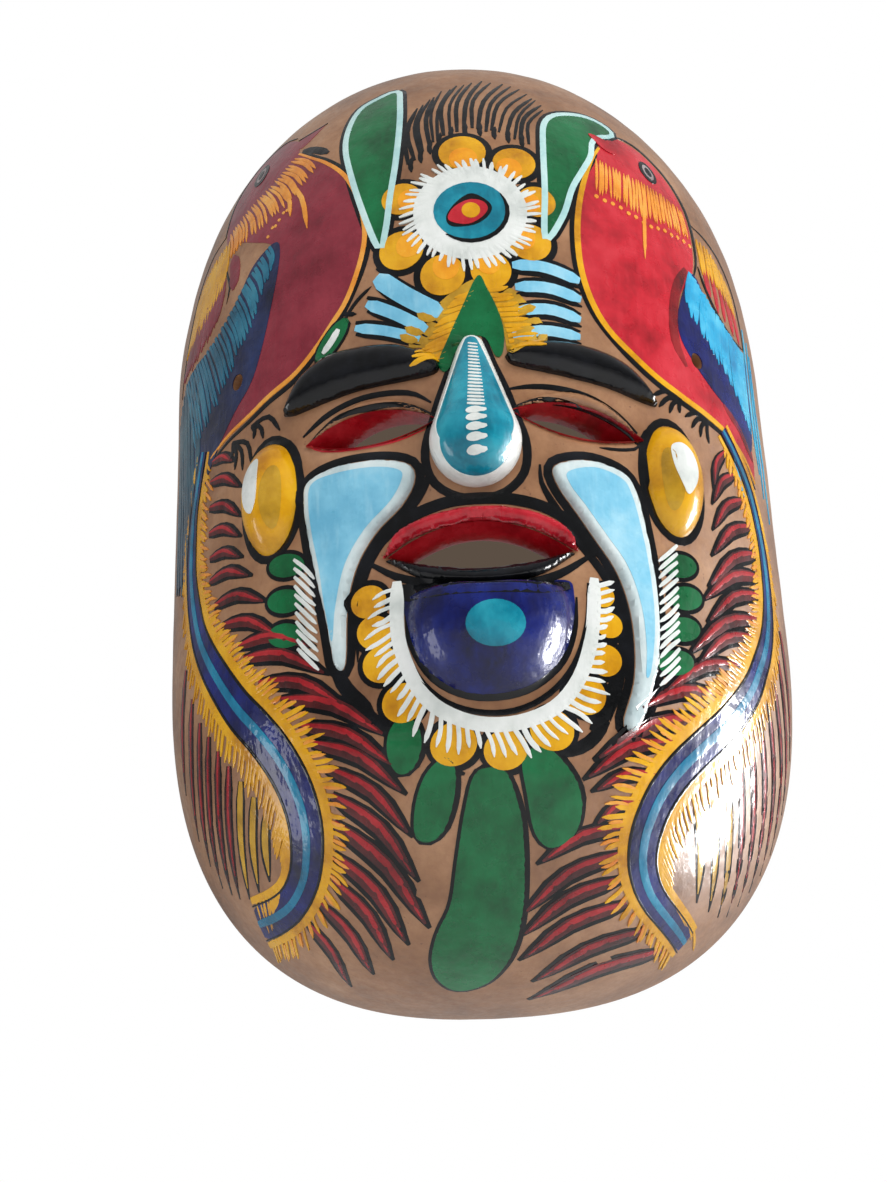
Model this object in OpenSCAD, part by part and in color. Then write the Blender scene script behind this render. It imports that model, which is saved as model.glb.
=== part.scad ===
// Painted clay wall mask: a pressed shell with hand-laid relief pieces.
// +Z is up, the face looks towards -Y, and the back rim lies in the plane Y = 0.
// The origin is the middle of the back rim's plane, at half the mask's height.

/* [Shell] */
// Height of the mask from top to bottom
shell_h = 314; // [270:1:380]
// Outer radius of the rounded front, seen from above
shell_r = 96; // [84:1:120]
// How far behind the rim's plane the centre of that radius lies
centre_back = 16; // [10:1:24]
// Thickness of the clay wall
wall = 8; // [6:0.5:10]
// Height above the middle where the forehead starts to round over
straight_top = 35; // [20:1:60]
// Depth below the middle where the front starts to round under
straight_bottom = 45; // [20:1:60]
// Fullness of the forehead's curve, where 2 is an ellipse
top_fullness = 2.2; // [2:0.1:3]
// Fullness of the lower curve, where 2 is an ellipse
bottom_fullness = 2.6; // [2:0.1:3]

/* [Eyes] */
// Length of an eye slot
eye_w = 35; // [28:1:42]
// Height of the slot above its corners
eye_up = 5; // [3:0.5:7]
// Depth of the slot below its corners
eye_down = 4.5; // [3:0.5:7]
// Gap between the side of the nose and the inner end of each eyelid
eye_gap = 0.5; // [0.2:0.1:4]
// Height of the slots' middles
eye_z = -7; // [-12:1:-4]
// How far the outer corners droop, in degrees
eye_tilt = 6; // [0:1:10]
// Width of the rolled eyelid above the middle of a slot
lid_w = 3.5; // [2:0.5:4]
// How far the eyelid runs past the slot's corners
lid_corner = 0.5; // [0.5:0.5:2]
// Height of the eyelid over the shell
lid_h = 2.5; // [1.5:0.5:4]

/* [Brows] */
// Length of a brow
brow_w = 44; // [34:1:51]
// Rise of the brow's upper edge
brow_up = 13; // [10:1:18]
// Rise of the brow's lower edge
brow_in = 1; // [0.5:0.5:5]
// Thickness of a brow's blunt ends
brow_end = 1; // [0.5:0.5:3]
// Gap between the side of the nose and the inner end of each brow
brow_gap = 3; // [0.5:0.5:5]
// Height of the middle of a brow's lower edge over the top of the eyelid
brow_lift = 4.5; // [3:0.5:8]
// How far the outer ends droop, in degrees
brow_tilt = 8; // [4:1:14]
// Height of the brow over the shell
brow_h = 5; // [3:0.5:7]

/* [Nose] */
// Sideways shift of the nose's line from the middle of the shell
nose_x = 1.5; // [-2:0.5:3]
// Radius of the nose's round tip
nose_tip_r = 12; // [9:0.5:15]
// Radius of the nose's narrow top end
nose_top_r = 3.5; // [2:0.5:5]
// Height of the round tip's middle
nose_tip_z = -16; // [-18:1:-12]
// Height of the narrow end's middle
nose_top_z = 13; // [10:1:18]
// How far the tip's middle stands out from the shell
nose_lift = 4; // [1:0.5:7]

/* [Mouth] */
// Width of the mouth opening
mouth_w = 48; // [36:1:58]
// Height of the opening above its corners
mouth_up = 8; // [5:0.5:10]
// Depth of the opening below its corners
mouth_down = 5; // [3:0.5:7]
// Height of the mouth's corners
mouth_z = -45; // [-48:0.5:-43]
// Width of the lips at the middle of the mouth
lip_w = 4; // [3:0.5:5]
// How far the lips run past the mouth's corners
lip_corner = 2; // [1:0.5:3]
// Height of the upper lip over the shell
upper_lip_h = 5; // [3:0.5:8]
// Height of the lower lip over the shell
lower_lip_h = 3.5; // [2:0.5:6]

/* [Chin] */
// Radius of the chin's round edge
chin_r = 22; // [17:0.5:24]
// Height of the middle of that round edge
chin_z = -62; // [-66:0.5:-60]
// Height of the chin over the shell
chin_h = 12; // [8:0.5:16]
// Gap between the lower lip and the chin
chin_gap = 0.8; // [0.5:0.1:2]

/* [Cheeks] */
// Radius of a cheek pad's round upper part
cheek_r = 13.5; // [11:0.5:16.5]
// Gap between the ends of the lips and the middle line of each pad
cheek_mouth_gap = 5.5; // [4:0.5:9]
// Least gap between the nose and each pad
cheek_nose_gap = 2.5; // [1.5:0.5:6]
// Height of that part's middle
cheek_z = -32; // [-36:1:-31]
// Length of the left pad's tail below that middle
left_tail = 41; // [30:1:50]
// Length of the right pad's tail below that middle
right_tail = 58; // [40:1:64]
// Height of the cheek pads over the shell
cheek_h = 2.5; // [1.5:0.5:4]

/* [Ears] */
// Half width of an ear boss
ear_r = 10; // [7:0.5:11]
// Half height of an ear boss
ear_half_h = 17; // [13:1:20]
// Gap between an ear boss's side and the outermost point of the eyelid or the cheek pad
ear_gap = 0.2; // [0:0.1:8]
// Gap between an ear boss's top and the outer end of the brow over it
ear_drop = 5.5; // [0:0.5:10]
// How deep a boss's middle lies under the shell's surface
ear_sink = 2.5; // [1:0.5:5]

/* [Hanging holes] */
// Diameter of each hanging hole
hole_d = 5; // [4:0.5:7]
// Distance along the curved front from the middle to each hole
hole_reach = 74; // [70:1:86]
// Height of the holes
hole_z = 21; // [10:1:30]

/* [Hidden] */
$fn = 96;

half_h = shell_h / 2;
// Steps in each rounded end of the shell's profile
end_steps = 20;
// Steps in each round of a small turned profile
turn_steps = 12;
// Points on each span of a smoothed outline
smooth_steps = 4;
// Room beyond a surface for a clean cut
past = 5;
// Depth of a cut or pillar that starts at the rim's plane and passes the nose's tip
reach = shell_r + 60;

clay = [0.66, 0.48, 0.38];
brow_black = [0.06, 0.07, 0.09];
lip_red = [0.78, 0.10, 0.13];
lip_black = [0.08, 0.08, 0.09];
nose_turquoise = [0.0, 0.52, 0.62];
chin_blue = [0.07, 0.09, 0.42];
cheek_blue = [0.52, 0.78, 0.88];
ear_yellow = [0.90, 0.65, 0.08];

// ---- The shell's surface ----

// Radius of a rounded end at the share s of its length, for a full radius r
function end_radius(r, s, fullness) = r * pow(max(0, 1 - pow(s, fullness)), 1 / fullness);

// Half of the shell's outline, from pole to pole, with its surface moved in by the depth given
function shell_profile(depth) = concat(
    [for (i = [end_steps:-1:0])
        let (s = sin(90 * i / end_steps))
        [end_radius(shell_r - depth, s, bottom_fullness),
         -straight_bottom - (half_h - straight_bottom - depth) * s]],
    [for (i = [0:end_steps])
        let (s = sin(90 * i / end_steps))
        [end_radius(shell_r - depth, s, top_fullness),
         straight_top + (half_h - straight_top - depth) * s]]
);

// Radius of the shell's outside at the height z
function radius_at(z) =
    z > straight_top
        ? end_radius(shell_r, (z - straight_top) / (half_h - straight_top), top_fullness)
        : z < -straight_bottom
            ? end_radius(shell_r, (-z - straight_bottom) / (half_h - straight_bottom), bottom_fullness)
            : shell_r;

// Y of the shell's outside at x, z
function front_y(x, z) = centre_back - sqrt(pow(radius_at(z), 2) - pow(x, 2));

// A solid filling the shell's surface, moved in by the depth given
module solid_of_shell(depth) {
    translate([0, centre_back, 0])
        rotate_extrude()
            polygon(shell_profile(depth));
}

// A pillar of the flat outline given, standing out from the rim's plane through the front
module pillar() {
    rotate([90, 0, 0])
        linear_extrude(reach)
            children();
}

// A clay pad of the flat outline given, that lies on the shell and stands h out of it
module pad(h) {
    intersection() {
        pillar() children();
        difference() {
            solid_of_shell(-h);
            solid_of_shell(0);
        }
    }
}

// ---- Flat outlines ----

// Radius of an arc over a chord w with the rise given
function arc_r(w, rise) = (pow(w / 2, 2) + pow(rise, 2)) / (2 * rise);

// A disc whose edge is the arc over a chord w, with its top at the rise given
module disc_under_arc(w, rise) {
    translate([0, rise - arc_r(w, rise)])
        circle(arc_r(w, rise));
}

// An eye shape between two arcs over one chord
module lens(w, up, down) {
    intersection() {
        disc_under_arc(w, up);
        rotate(180) disc_under_arc(w, down);
    }
}

// The part of a disc above its chord w, with its top at the rise given
module cap(w, rise) {
    intersection() {
        disc_under_arc(w, rise);
        translate([-w, 0])
            square([2 * w, w]);
    }
}

// A point on the smooth curve through b and c, at the share t between them
function curve_point(a, b, c, d, t) =
    0.5 * (2 * b + (c - a) * t + (2 * a - 5 * b + 4 * c - d) * t * t
           + (3 * b - a - 3 * c + d) * t * t * t);

// A closed smooth curve through the points
function smooth_loop(p) = [
    for (i = [0:len(p) - 1])
        for (k = [0:smooth_steps - 1])
            curve_point(p[(i + len(p) - 1) % len(p)], p[i], p[(i + 1) % len(p)],
                        p[(i + 2) % len(p)], k / smooth_steps)
];

// ---- Places on the face ----

// Sine of the angle at which the nose's sides close towards its narrow end
nose_lean = (nose_tip_r - nose_top_r) / (nose_top_z - nose_tip_z);

// Half width of the nose at the height z, between its two ends
function nose_half(z) = (nose_tip_r - (z - nose_tip_z) * nose_lean) / sqrt(1 - pow(nose_lean, 2));

// Distance along the curved front from the middle to the place x
function arc_to(x) = shell_r * asin(x / shell_r) * PI / 180;

// Distance of each slot's middle from the nose's line
eye_x = nose_half(eye_z) + eye_gap + lid_corner + eye_w / 2;
// Height of the brow's corners before it droops
brow_z = eye_z + eye_up + lid_w + brow_lift - brow_in;
// Distance of each brow's middle from the nose's line
brow_x = nose_half(brow_z) + brow_gap + brow_w / 2;
// Shares of a cheek pad's radius that its round part reaches inwards and outwards
cheek_in = 1.15;
cheek_out = 1.12;
// Distance of a cheek pad's middle line from the nose's line
cheek_x = max(mouth_w / 2 + lip_corner + cheek_mouth_gap,
              nose_tip_r + cheek_nose_gap + cheek_in * cheek_r);
// Distance along the curved front from the middle to each ear boss's middle
ear_reach = arc_to(nose_x + max(eye_x + eye_w / 2 + lid_corner, cheek_x + cheek_out * cheek_r))
            + ear_gap + ear_r;
// Height of the ear bosses' middles
ear_z = brow_z - sin(brow_tilt) * brow_w / 2 - ear_drop - ear_half_h;

// Puts a flat outline on one side of the nose: side is -1 for left and 1 for right
module at_side(side, x, z, tilt) {
    translate([nose_x + side * x, z])
        rotate(-side * tilt)
            children();
}

module eye_slot(side) {
    at_side(side, eye_x, eye_z, eye_tilt)
        lens(eye_w, eye_up, eye_down);
}

module mouth_opening() {
    translate([nose_x, mouth_z])
        lens(mouth_w, mouth_up, mouth_down);
}

// The lips' outer edge with the half on one side of the corners: way is 1 for above, -1 for below
module lip_outline(way, middle_h) {
    translate([nose_x, mouth_z])
        difference() {
            scale([1, way])
                cap(mouth_w + 2 * lip_corner, middle_h + lip_w);
            lens(mouth_w, mouth_up, mouth_down);
        }
}

// Turns a piece to a place along the curved front, at the distance reach from the middle
module round_front(side, distance) {
    translate([0, centre_back, 0])
        rotate([0, 0, side * distance / shell_r * 180 / PI])
            children();
}

// ---- The pieces ----

module shell() {
    color(clay)
    difference() {
        intersection() {
            solid_of_shell(0);
            translate([-2 * shell_r, -2 * shell_r, -shell_h])
                cube([4 * shell_r, 2 * shell_r, 2 * shell_h]);
        }
        solid_of_shell(wall);
        pillar() {
            eye_slot(-1);
            eye_slot(1);
            mouth_opening();
        }
        for (side = [-1, 1])
            round_front(side, hole_reach)
                translate([0, 0, hole_z])
                    rotate([90, 0, 0])
                        translate([0, 0, shell_r - wall - past])
                            cylinder(d = hole_d, h = wall + 2 * past);
    }
}

// Teardrop turned about its own length: a small ball and a large ball joined by a cone
function teardrop_profile(r_big, r_small, length) =
    let (lean = asin((r_big - r_small) / length))
    concat(
        [for (i = [0:turn_steps])
            let (a = -90 + (90 + lean) * i / turn_steps)
            [r_big * cos(a), r_big * sin(a)]],
        [for (i = [0:turn_steps])
            let (a = lean + (90 - lean) * i / turn_steps)
            [r_small * cos(a), length + r_small * sin(a)]]
    );

module nose() {
    tip_y = front_y(nose_x, nose_tip_z) - nose_lift;
    top_y = front_y(nose_x, nose_top_z);
    rise = nose_top_z - nose_tip_z;
    color(nose_turquoise)
    difference() {
        translate([nose_x, tip_y, nose_tip_z])
            rotate([-atan((top_y - tip_y) / rise), 0, 0])
                rotate_extrude()
                    polygon(teardrop_profile(nose_tip_r, nose_top_r, norm([rise, top_y - tip_y])));
        solid_of_shell(0);
    }
}

module brow(side) {
    color(brow_black)
    pad(brow_h)
        at_side(side, brow_x, brow_z, brow_tilt)
            difference() {
                cap(brow_w, brow_up);
                disc_under_arc(brow_w - 2 * brow_end, brow_in);
            }
}

module eyelid(side) {
    color(clay)
    pad(lid_h)
        at_side(side, eye_x, eye_z, eye_tilt)
            difference() {
                cap(eye_w + 2 * lid_corner, eye_up + lid_w);
                lens(eye_w, eye_up, eye_down);
            }
}

module upper_lip() {
    color(lip_red)
    pad(upper_lip_h)
        lip_outline(1, mouth_up);
}

module lower_lip() {
    color(lip_black)
    pad(lower_lip_h)
        lip_outline(-1, mouth_down);
}

module chin() {
    dome_r = arc_r(2 * chin_r, chin_h);
    color(chin_blue)
    difference() {
        translate([nose_x, front_y(nose_x, chin_z) - chin_h + dome_r, chin_z])
            sphere(dome_r);
        solid_of_shell(0);
        pillar()
            translate([nose_x, mouth_z])
                union() {
                    rotate(180)
                        disc_under_arc(mouth_w + 2 * lip_corner, mouth_down + lip_w + chin_gap);
                    translate([-mouth_w, 0])
                        square([2 * mouth_w, mouth_w]);
                }
    }
}

// Teardrop pad with its tip below, swayed sideways by the amount given
module cheek_outline(side, tail, sway) {
    r = cheek_r;
    translate([nose_x + side * cheek_x, cheek_z])
        scale([side, 1])
            polygon(smooth_loop([
                [-0.72 * r, 0.95 * r], [0.1 * r, 1.08 * r], [0.9 * r, 0.9 * r], [cheek_out * r, 0.2 * r],
                [1.02 * r + 0.5 * sway, -0.35 * tail], [0.62 * r + sway, -0.75 * tail],
                [0.5 * r, -tail], [0.3 * r, -tail], [0.32 * r + 0.8 * sway, -0.7 * tail],
                [0.05 * r + 0.2 * sway, -0.35 * tail], [-0.75 * r, -0.1 * r], [-cheek_in * r, 0.45 * r]
            ]));
}

module cheek_left() {
    color(cheek_blue)
    pad(cheek_h)
        cheek_outline(-1, left_tail, 0);
}

module cheek_right() {
    color(cheek_blue)
    pad(cheek_h)
        cheek_outline(1, right_tail, 0.45 * cheek_r);
}

// Egg turned about its length, laid on the curved front with its middle under the surface
module ear(side) {
    color(ear_yellow)
    difference() {
        round_front(side, ear_reach)
            translate([0, ear_sink - shell_r, ear_z])
                rotate_extrude()
                    polygon([for (i = [-turn_steps:turn_steps])
                        let (a = 90 * i / turn_steps)
                        [ear_r * cos(a), ear_half_h * sin(a)]]);
        solid_of_shell(0);
    }
}

shell();
nose();
brow(-1);  // brow_left
brow(1);  // brow_right
eyelid(-1);  // eyelid_left
eyelid(1);  // eyelid_right
upper_lip();
lower_lip();
chin();
cheek_left();
cheek_right();
ear(-1);  // ear_left
ear(1);  // ear_right
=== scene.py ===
# %% [markdown]
# # A painted clay wall mask
# The mask is one hollow pressed shell of terracotta with clay pieces luted onto it: nose, brows,
# eyelids, lips, chin, cheek pads and ear bosses. The painter then covers it with enamel birds,
# flowers and feathers. The lesson follows the same order: clay first, then one motif at a time.
# The CAD model gives every place and size, so it is loaded first.

# %% Load the frame
import math
import random

import bmesh
import bpy
import numpy as np
from mathutils import Matrix, Vector, noise
from mathutils.bvhtree import BVHTree


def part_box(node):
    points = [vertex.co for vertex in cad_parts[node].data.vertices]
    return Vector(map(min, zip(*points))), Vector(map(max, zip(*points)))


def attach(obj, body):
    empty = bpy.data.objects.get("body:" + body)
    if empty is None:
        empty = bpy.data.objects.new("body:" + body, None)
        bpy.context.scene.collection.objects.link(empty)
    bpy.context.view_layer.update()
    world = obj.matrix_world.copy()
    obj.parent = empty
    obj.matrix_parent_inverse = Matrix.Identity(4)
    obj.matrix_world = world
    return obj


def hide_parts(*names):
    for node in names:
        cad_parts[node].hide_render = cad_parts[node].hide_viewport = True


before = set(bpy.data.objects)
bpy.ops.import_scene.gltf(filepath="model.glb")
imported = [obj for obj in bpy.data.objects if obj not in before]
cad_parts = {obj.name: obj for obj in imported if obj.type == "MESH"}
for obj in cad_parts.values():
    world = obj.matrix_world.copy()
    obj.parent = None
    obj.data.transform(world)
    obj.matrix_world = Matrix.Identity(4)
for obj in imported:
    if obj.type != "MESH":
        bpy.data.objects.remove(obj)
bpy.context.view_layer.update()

MM = 0.001
hand = random.Random(11)
print("nodes:", sorted(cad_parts))

# %% [markdown]
# ## The shell as a sheet
# A painter thinks of the mask as a sheet that is wrapped round a form: so far from the middle
# line, so far up from the nose. Here that sheet has two coordinates in millimetres, `across` and
# `up`, both measured along the curved clay. Everything is drawn flat on the sheet and wrapped
# afterwards, because a flat drawing is easy to write and wrapping keeps it exactly on the clay.
# The shell's radius and ends are worked out from the CAD shell's own box.

# %% The shell's profile
shell_low, shell_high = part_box("shell")
DEPTH = -shell_low.y / MM
HALF_WIDTH = shell_high.x / MM
RADIUS = (HALF_WIDTH ** 2 + DEPTH ** 2) / (2 * DEPTH)
BEHIND = RADIUS - DEPTH
STRAIGHT_TOP = 35
STRAIGHT_BOTTOM = 45
TOP_FULLNESS = 2.2
BOTTOM_FULLNESS = 2.6
WALL = 8
# The clay is made a little thinner than the CAD shell, so that the paint stays inside its box
PAINT_ROOM = 0.7


def end_length(reach, straight, fullness):
    """Length of a rounded end that meets the rim's plane at the height `reach`."""
    return (reach - straight) / (1 - (BEHIND / RADIUS) ** fullness) ** (1 / fullness)


def end_curve(straight, length, fullness):
    """Heights and radii along one rounded end, from the straight part to its pole."""
    share = np.sin(np.linspace(0, math.pi / 2, 600))
    radius = RADIUS * (1 - share ** fullness).clip(0) ** (1 / fullness)
    return straight + length * share, radius


top_z, top_r = end_curve(STRAIGHT_TOP, end_length(shell_high.z / MM, STRAIGHT_TOP, TOP_FULLNESS),
                         TOP_FULLNESS)
low_z, low_r = end_curve(STRAIGHT_BOTTOM, end_length(-shell_low.z / MM, STRAIGHT_BOTTOM, BOTTOM_FULLNESS),
                         BOTTOM_FULLNESS)
profile_z = np.concatenate([-low_z[::-1], top_z])
profile_r = np.concatenate([low_r[::-1], top_r])
profile_up = np.concatenate([[0], np.cumsum(np.hypot(np.diff(profile_z), np.diff(profile_r)))])
profile_up -= np.interp(0, profile_z, profile_up)
slope_z = np.gradient(profile_z, profile_up)
slope_r = np.gradient(profile_r, profile_up)
print("radius %.1f mm, sheet from %.0f to %.0f mm" % (RADIUS, profile_up[0], profile_up[-1]))


def profile_at(up, lift):
    """Radius and height at the place `up` of the profile, moved out of the clay by `lift`."""
    radius = np.interp(up, profile_up, profile_r) + lift * np.interp(up, profile_up, slope_z)
    height = np.interp(up, profile_up, profile_z) - lift * np.interp(up, profile_up, slope_r)
    return radius, height


def on_shell(across, up, lift=0.0):
    """Point in metres at a place on the sheet, standing out of the clay by `lift` millimetres."""
    radius, height = profile_at(up, lift)
    turn = across / np.maximum(np.interp(up, profile_up, profile_r), 1)
    return np.stack([radius * np.sin(turn), BEHIND - radius * np.cos(turn), height], -1) * MM


def from_front(x, z):
    """Place on the sheet of a point seen straight from the front, near the mask's middle."""
    return RADIUS * math.asin(x / RADIUS), z


# %% [markdown]
# ## Small helpers for meshes
# A bmesh is turned into an object in one place, which merges doubles, turns the faces outwards and makes
# the piece ride on the mask. Each piece is given its material, and the CAD nodes that it stands for are
# hidden.

# %% Objects from a bmesh
CREASE = math.radians(50)


def make_object(name, mesh_maker, material, replaces=()):
    """Turns a bmesh in metres into a finished piece that rides on the mask."""
    bmesh.ops.remove_doubles(mesh_maker, verts=mesh_maker.verts, dist=0.002 * MM)
    bmesh.ops.recalc_face_normals(mesh_maker, faces=mesh_maker.faces)
    for face in mesh_maker.faces:
        face.smooth = True
    for edge in mesh_maker.edges:
        edge.smooth = edge.calc_face_angle(0) < CREASE
    mesh = bpy.data.meshes.new(name)
    mesh_maker.to_mesh(mesh)
    mesh_maker.free()
    mesh.materials.append(material)
    piece = bpy.data.objects.new(name, mesh)
    bpy.context.scene.collection.objects.link(piece)
    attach(piece, "root")
    if replaces:
        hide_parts(*replaces)
    print(name, len(mesh.polygons), "faces")
    return piece


def surface_tree(pieces):
    """A search tree of the pieces' surfaces, which the paint is wrapped on."""
    points = []
    faces = []
    for piece in pieces:
        start = len(points)
        points += [v.co.copy() for v in piece.data.vertices]
        faces += [[start + i for i in f.vertices] for f in piece.data.polygons]
    return BVHTree.FromPolygons(points, faces)


CAST_FROM = 34


def wrap(flat, tree):
    """Wraps a flat bmesh, in sheet millimetres, on the clay; its z stays the lift over the clay."""
    place = np.array([v.co for v in flat.verts], float)
    starts = on_shell(place[:, 0], place[:, 1], CAST_FROM)
    ends = on_shell(place[:, 0], place[:, 1], 0.0)
    for vert, start, end, lift in zip(flat.verts, starts, ends, place[:, 2]):
        start = Vector(start)
        inwards = (Vector(end) - start).normalized()
        hit, normal, _, _ = tree.ray_cast(start, inwards)
        if hit is None:
            hit = Vector(end)
            normal = -inwards
        if normal.dot(inwards) > 0:
            normal = -normal
        vert.co = hit + normal * lift * MM


# %% [markdown]
# ## Flat shapes: smooth outlines, films and strokes
# A brush leaves two kinds of mark. A filled field is a smooth outline with paint inside: here a
# face that is cut into cells, so that it can bend, and thickened. A stroke is a ribbon that is
# pressed on, swells and lifts off: here a narrow grid that is bent along a path, tapered and
# slightly crowned. Both are closed thin solids, so a thick stroke catches the light at its edge.

# %% Smooth paths
def smooth(points, closed=False, steps=6):
    """Points on a smooth curve through the given points (a Catmull-Rom spline)."""
    p = np.array(points, float)
    if closed:
        p = np.concatenate([p[-1:], p, p[:2]])
    else:
        p = np.concatenate([[2 * p[0] - p[1]], p, [2 * p[-1] - p[-2]]])
    t = (np.arange(steps) / steps)[:, None]
    spans = []
    for a, b, c, d in zip(p, p[1:], p[2:], p[3:]):
        spans.append(0.5 * (2 * b + (c - a) * t + (2 * a - 5 * b + 4 * c - d) * t ** 2
                            + (3 * b - a - 3 * c + d) * t ** 3))
    curve = np.concatenate(spans)
    return curve if closed else np.concatenate([curve, p[-2:-1]])


def along(path, shares):
    """Points and left-hand normals at the given shares of a path's length."""
    steps = np.hypot(*np.diff(path, axis=0).T)
    length = np.concatenate([[0], np.cumsum(steps)])
    at = np.array(shares, float) * length[-1]
    reach = 0.02 * length[-1]
    spot = np.stack([np.interp(at, length, path[:, i]) for i in (0, 1)], -1)
    ahead = np.stack([np.interp(at + reach, length, path[:, i]) for i in (0, 1)], -1)
    back = np.stack([np.interp(at - reach, length, path[:, i]) for i in (0, 1)], -1)
    way = ahead - back
    way /= np.maximum(np.hypot(*way.T), 1e-6)[:, None]
    return spot, np.stack([-way[:, 1], way[:, 0]], -1)


def path_length(path):
    return float(np.hypot(*np.diff(path, axis=0).T).sum())


def oval(centre, half_w, half_h, turn=0, points=28):
    """Outline of an oval, turned anticlockwise by `turn` degrees."""
    angle = np.linspace(0, 2 * math.pi, points, endpoint=False)
    c, s = math.cos(math.radians(turn)), math.sin(math.radians(turn))
    x, y = half_w * np.cos(angle), half_h * np.sin(angle)
    return np.stack([centre[0] + c * x - s * y, centre[1] + s * x + c * y], -1)


# %% Films and strokes
FILM = 0.1
SUNK = 0.15


def cut_in_cells(flat, cell):
    """Cuts the flat faces along a square grid, so that they can bend over the clay."""
    for axis in (0, 1):
        values = [v.co[axis] for v in flat.verts]
        low, high = min(values), max(values)
        count = int((high - low) / cell)
        for i in range(1, count + 1):
            spot = Vector((0, 0, 0))
            spot[axis] = low + (high - low) * i / (count + 1)
            normal = Vector((0, 0, 0))
            normal[axis] = 1
            bmesh.ops.bisect_plane(flat, geom=flat.verts[:] + flat.edges[:] + flat.faces[:],
                                   dist=1e-5, plane_co=spot, plane_no=normal)


def close_film(flat, faces, top):
    """Thickens flat faces, lying at z = 0, into a closed film from SUNK under the clay to `top`."""
    made = bmesh.ops.extrude_face_region(flat, geom=faces)
    for item in made["geom"]:
        if isinstance(item, bmesh.types.BMVert):
            item.co.z = top(item.co) if callable(top) else top
    for face in faces:
        for vert in face.verts:
            vert.co.z = -SUNK


def film(flat, outline, layer, cell=4.0):
    """Adds a filled field of paint with the outline given, in layer 1, 2, 3..."""
    part = bmesh.new()
    part.faces.new([part.verts.new((x, y, 0)) for x, y in outline])
    bmesh.ops.triangulate(part, faces=part.faces[:])
    cut_in_cells(part, cell)
    close_film(part, part.faces[:], layer * FILM)
    join(flat, part)


def join(flat, part):
    """Moves the shapes of one bmesh into another."""
    mesh = bpy.data.meshes.new("part")
    part.to_mesh(mesh)
    part.free()
    flat.from_mesh(mesh)
    bpy.data.meshes.remove(mesh)


def stroke(flat, points, width, layer, taper=(0.25, 0.75), tips=(0.25, 0.1), closed=False,
           bend=True, step=2.5, crown=0.08):
    """Adds a brush stroke along a path. It has its full width between the shares in `taper` of its
    length, and the shares in `tips` of that width at its two ends."""
    path = smooth(points, closed) if bend else np.array(points, float)
    if closed:
        path = np.concatenate([path, path[:2]])
        tips = (1, 1)
    segments = max(4, int(path_length(path) / step))
    verts = bmesh.ops.create_grid(flat, x_segments=segments, y_segments=2, size=1)["verts"]
    share = np.array([(v.co.x + 1) / 2 for v in verts])
    side = np.array([v.co.y for v in verts])
    rise = tips[0] + (1 - tips[0]) * np.sin(np.clip(share / taper[0], 0, 1) * math.pi / 2)
    fall = tips[1] + (1 - tips[1]) * np.sin(np.clip((1 - share) / (1 - taper[1]), 0, 1) * math.pi / 2)
    spot, normal = along(path, share)
    place = spot + normal * (side * width / 2 * np.minimum(rise, fall))[:, None]
    for vert, (x, y), across in zip(verts, place, side):
        vert.co = (x, y, crown * (1 - across ** 2))
    close_film(flat, list({f for v in verts for f in v.link_faces}), lambda co: co.z + layer * FILM)


def dab(flat, start, end, width, layer, sway=0.0, **shape):
    """Adds a short stroke from start to end, bowed sideways by `sway` millimetres."""
    start, end = np.array(start, float), np.array(end, float)
    across = np.array([-(end - start)[1], (end - start)[0]])
    middle = (start + end) / 2 + across / max(np.hypot(*across), 1e-6) * sway
    stroke(flat, [start, middle, end], width, layer, step=max(1.5, path_length([start, end]) / 6),
           **shape)


def jitter(amount):
    """A small random amount either way: the unsteadiness of a hand."""
    return hand.uniform(-amount, amount)


def paint(name, draw, material):
    """Draws one motif flat with the function given, wraps it on the clay and makes its object."""
    flat = bmesh.new()
    draw(flat)
    wrap(flat, clay_tree)
    return make_object(name, flat, material)


# %% [markdown]
# ## Enamel and clay
# The paint is thick glossy enamel. A brush leaves it streaky: a little darker where it pooled and
# paler where the bristles scraped, with fine ripples that break up reflections. Each colour is
# the same node tree with its own values: two sizes of noise mix three tones, one noise varies
# the roughness, and three bumps give the clay's slow unevenness, finer ripples and the bristles' lines.
# The coordinates are the object's own, in metres, so the pattern has the same size everywhere.

# %% Material helpers
def srgb(red, green, blue):
    """Linear colour from the 0 to 255 values that a colour picker shows."""
    def linear(value):
        value /= 255
        return value / 12.92 if value <= 0.04045 else ((value + 0.055) / 1.055) ** 2.4
    return (linear(red), linear(green), linear(blue), 1)


def new_material(name):
    material = bpy.data.materials.new(name)
    material.use_nodes = True
    tree = material.node_tree
    tree.nodes.clear()
    output = tree.nodes.new("ShaderNodeOutputMaterial")
    shader = tree.nodes.new("ShaderNodeBsdfPrincipled")
    tree.links.new(shader.outputs["BSDF"], output.inputs["Surface"])
    return material, tree, shader


def noise_node(tree, scale, detail=3, stretch=(1, 1, 1), rough=0.5):
    """A noise pattern on object coordinates; scale is in cells per metre."""
    place = tree.nodes.new("ShaderNodeTexCoord")
    mapping = tree.nodes.new("ShaderNodeMapping")
    mapping.inputs["Scale"].default_value = stretch
    pattern = tree.nodes.new("ShaderNodeTexNoise")
    pattern.inputs["Scale"].default_value = scale
    pattern.inputs["Detail"].default_value = detail
    pattern.inputs["Roughness"].default_value = rough
    tree.links.new(place.outputs["Object"], mapping.inputs["Vector"])
    tree.links.new(mapping.outputs["Vector"], pattern.inputs["Vector"])
    return pattern.outputs["Fac"]


def ramp(tree, value, stops):
    """A colour ramp through (place, colour) stops."""
    node = tree.nodes.new("ShaderNodeValToRGB")
    while len(node.color_ramp.elements) < len(stops):
        node.color_ramp.elements.new(0.5)
    for element, (place, colour) in zip(node.color_ramp.elements, stops):
        element.position = place
        element.color = colour
    tree.links.new(value, node.inputs["Fac"])
    return node.outputs["Color"]


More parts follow.
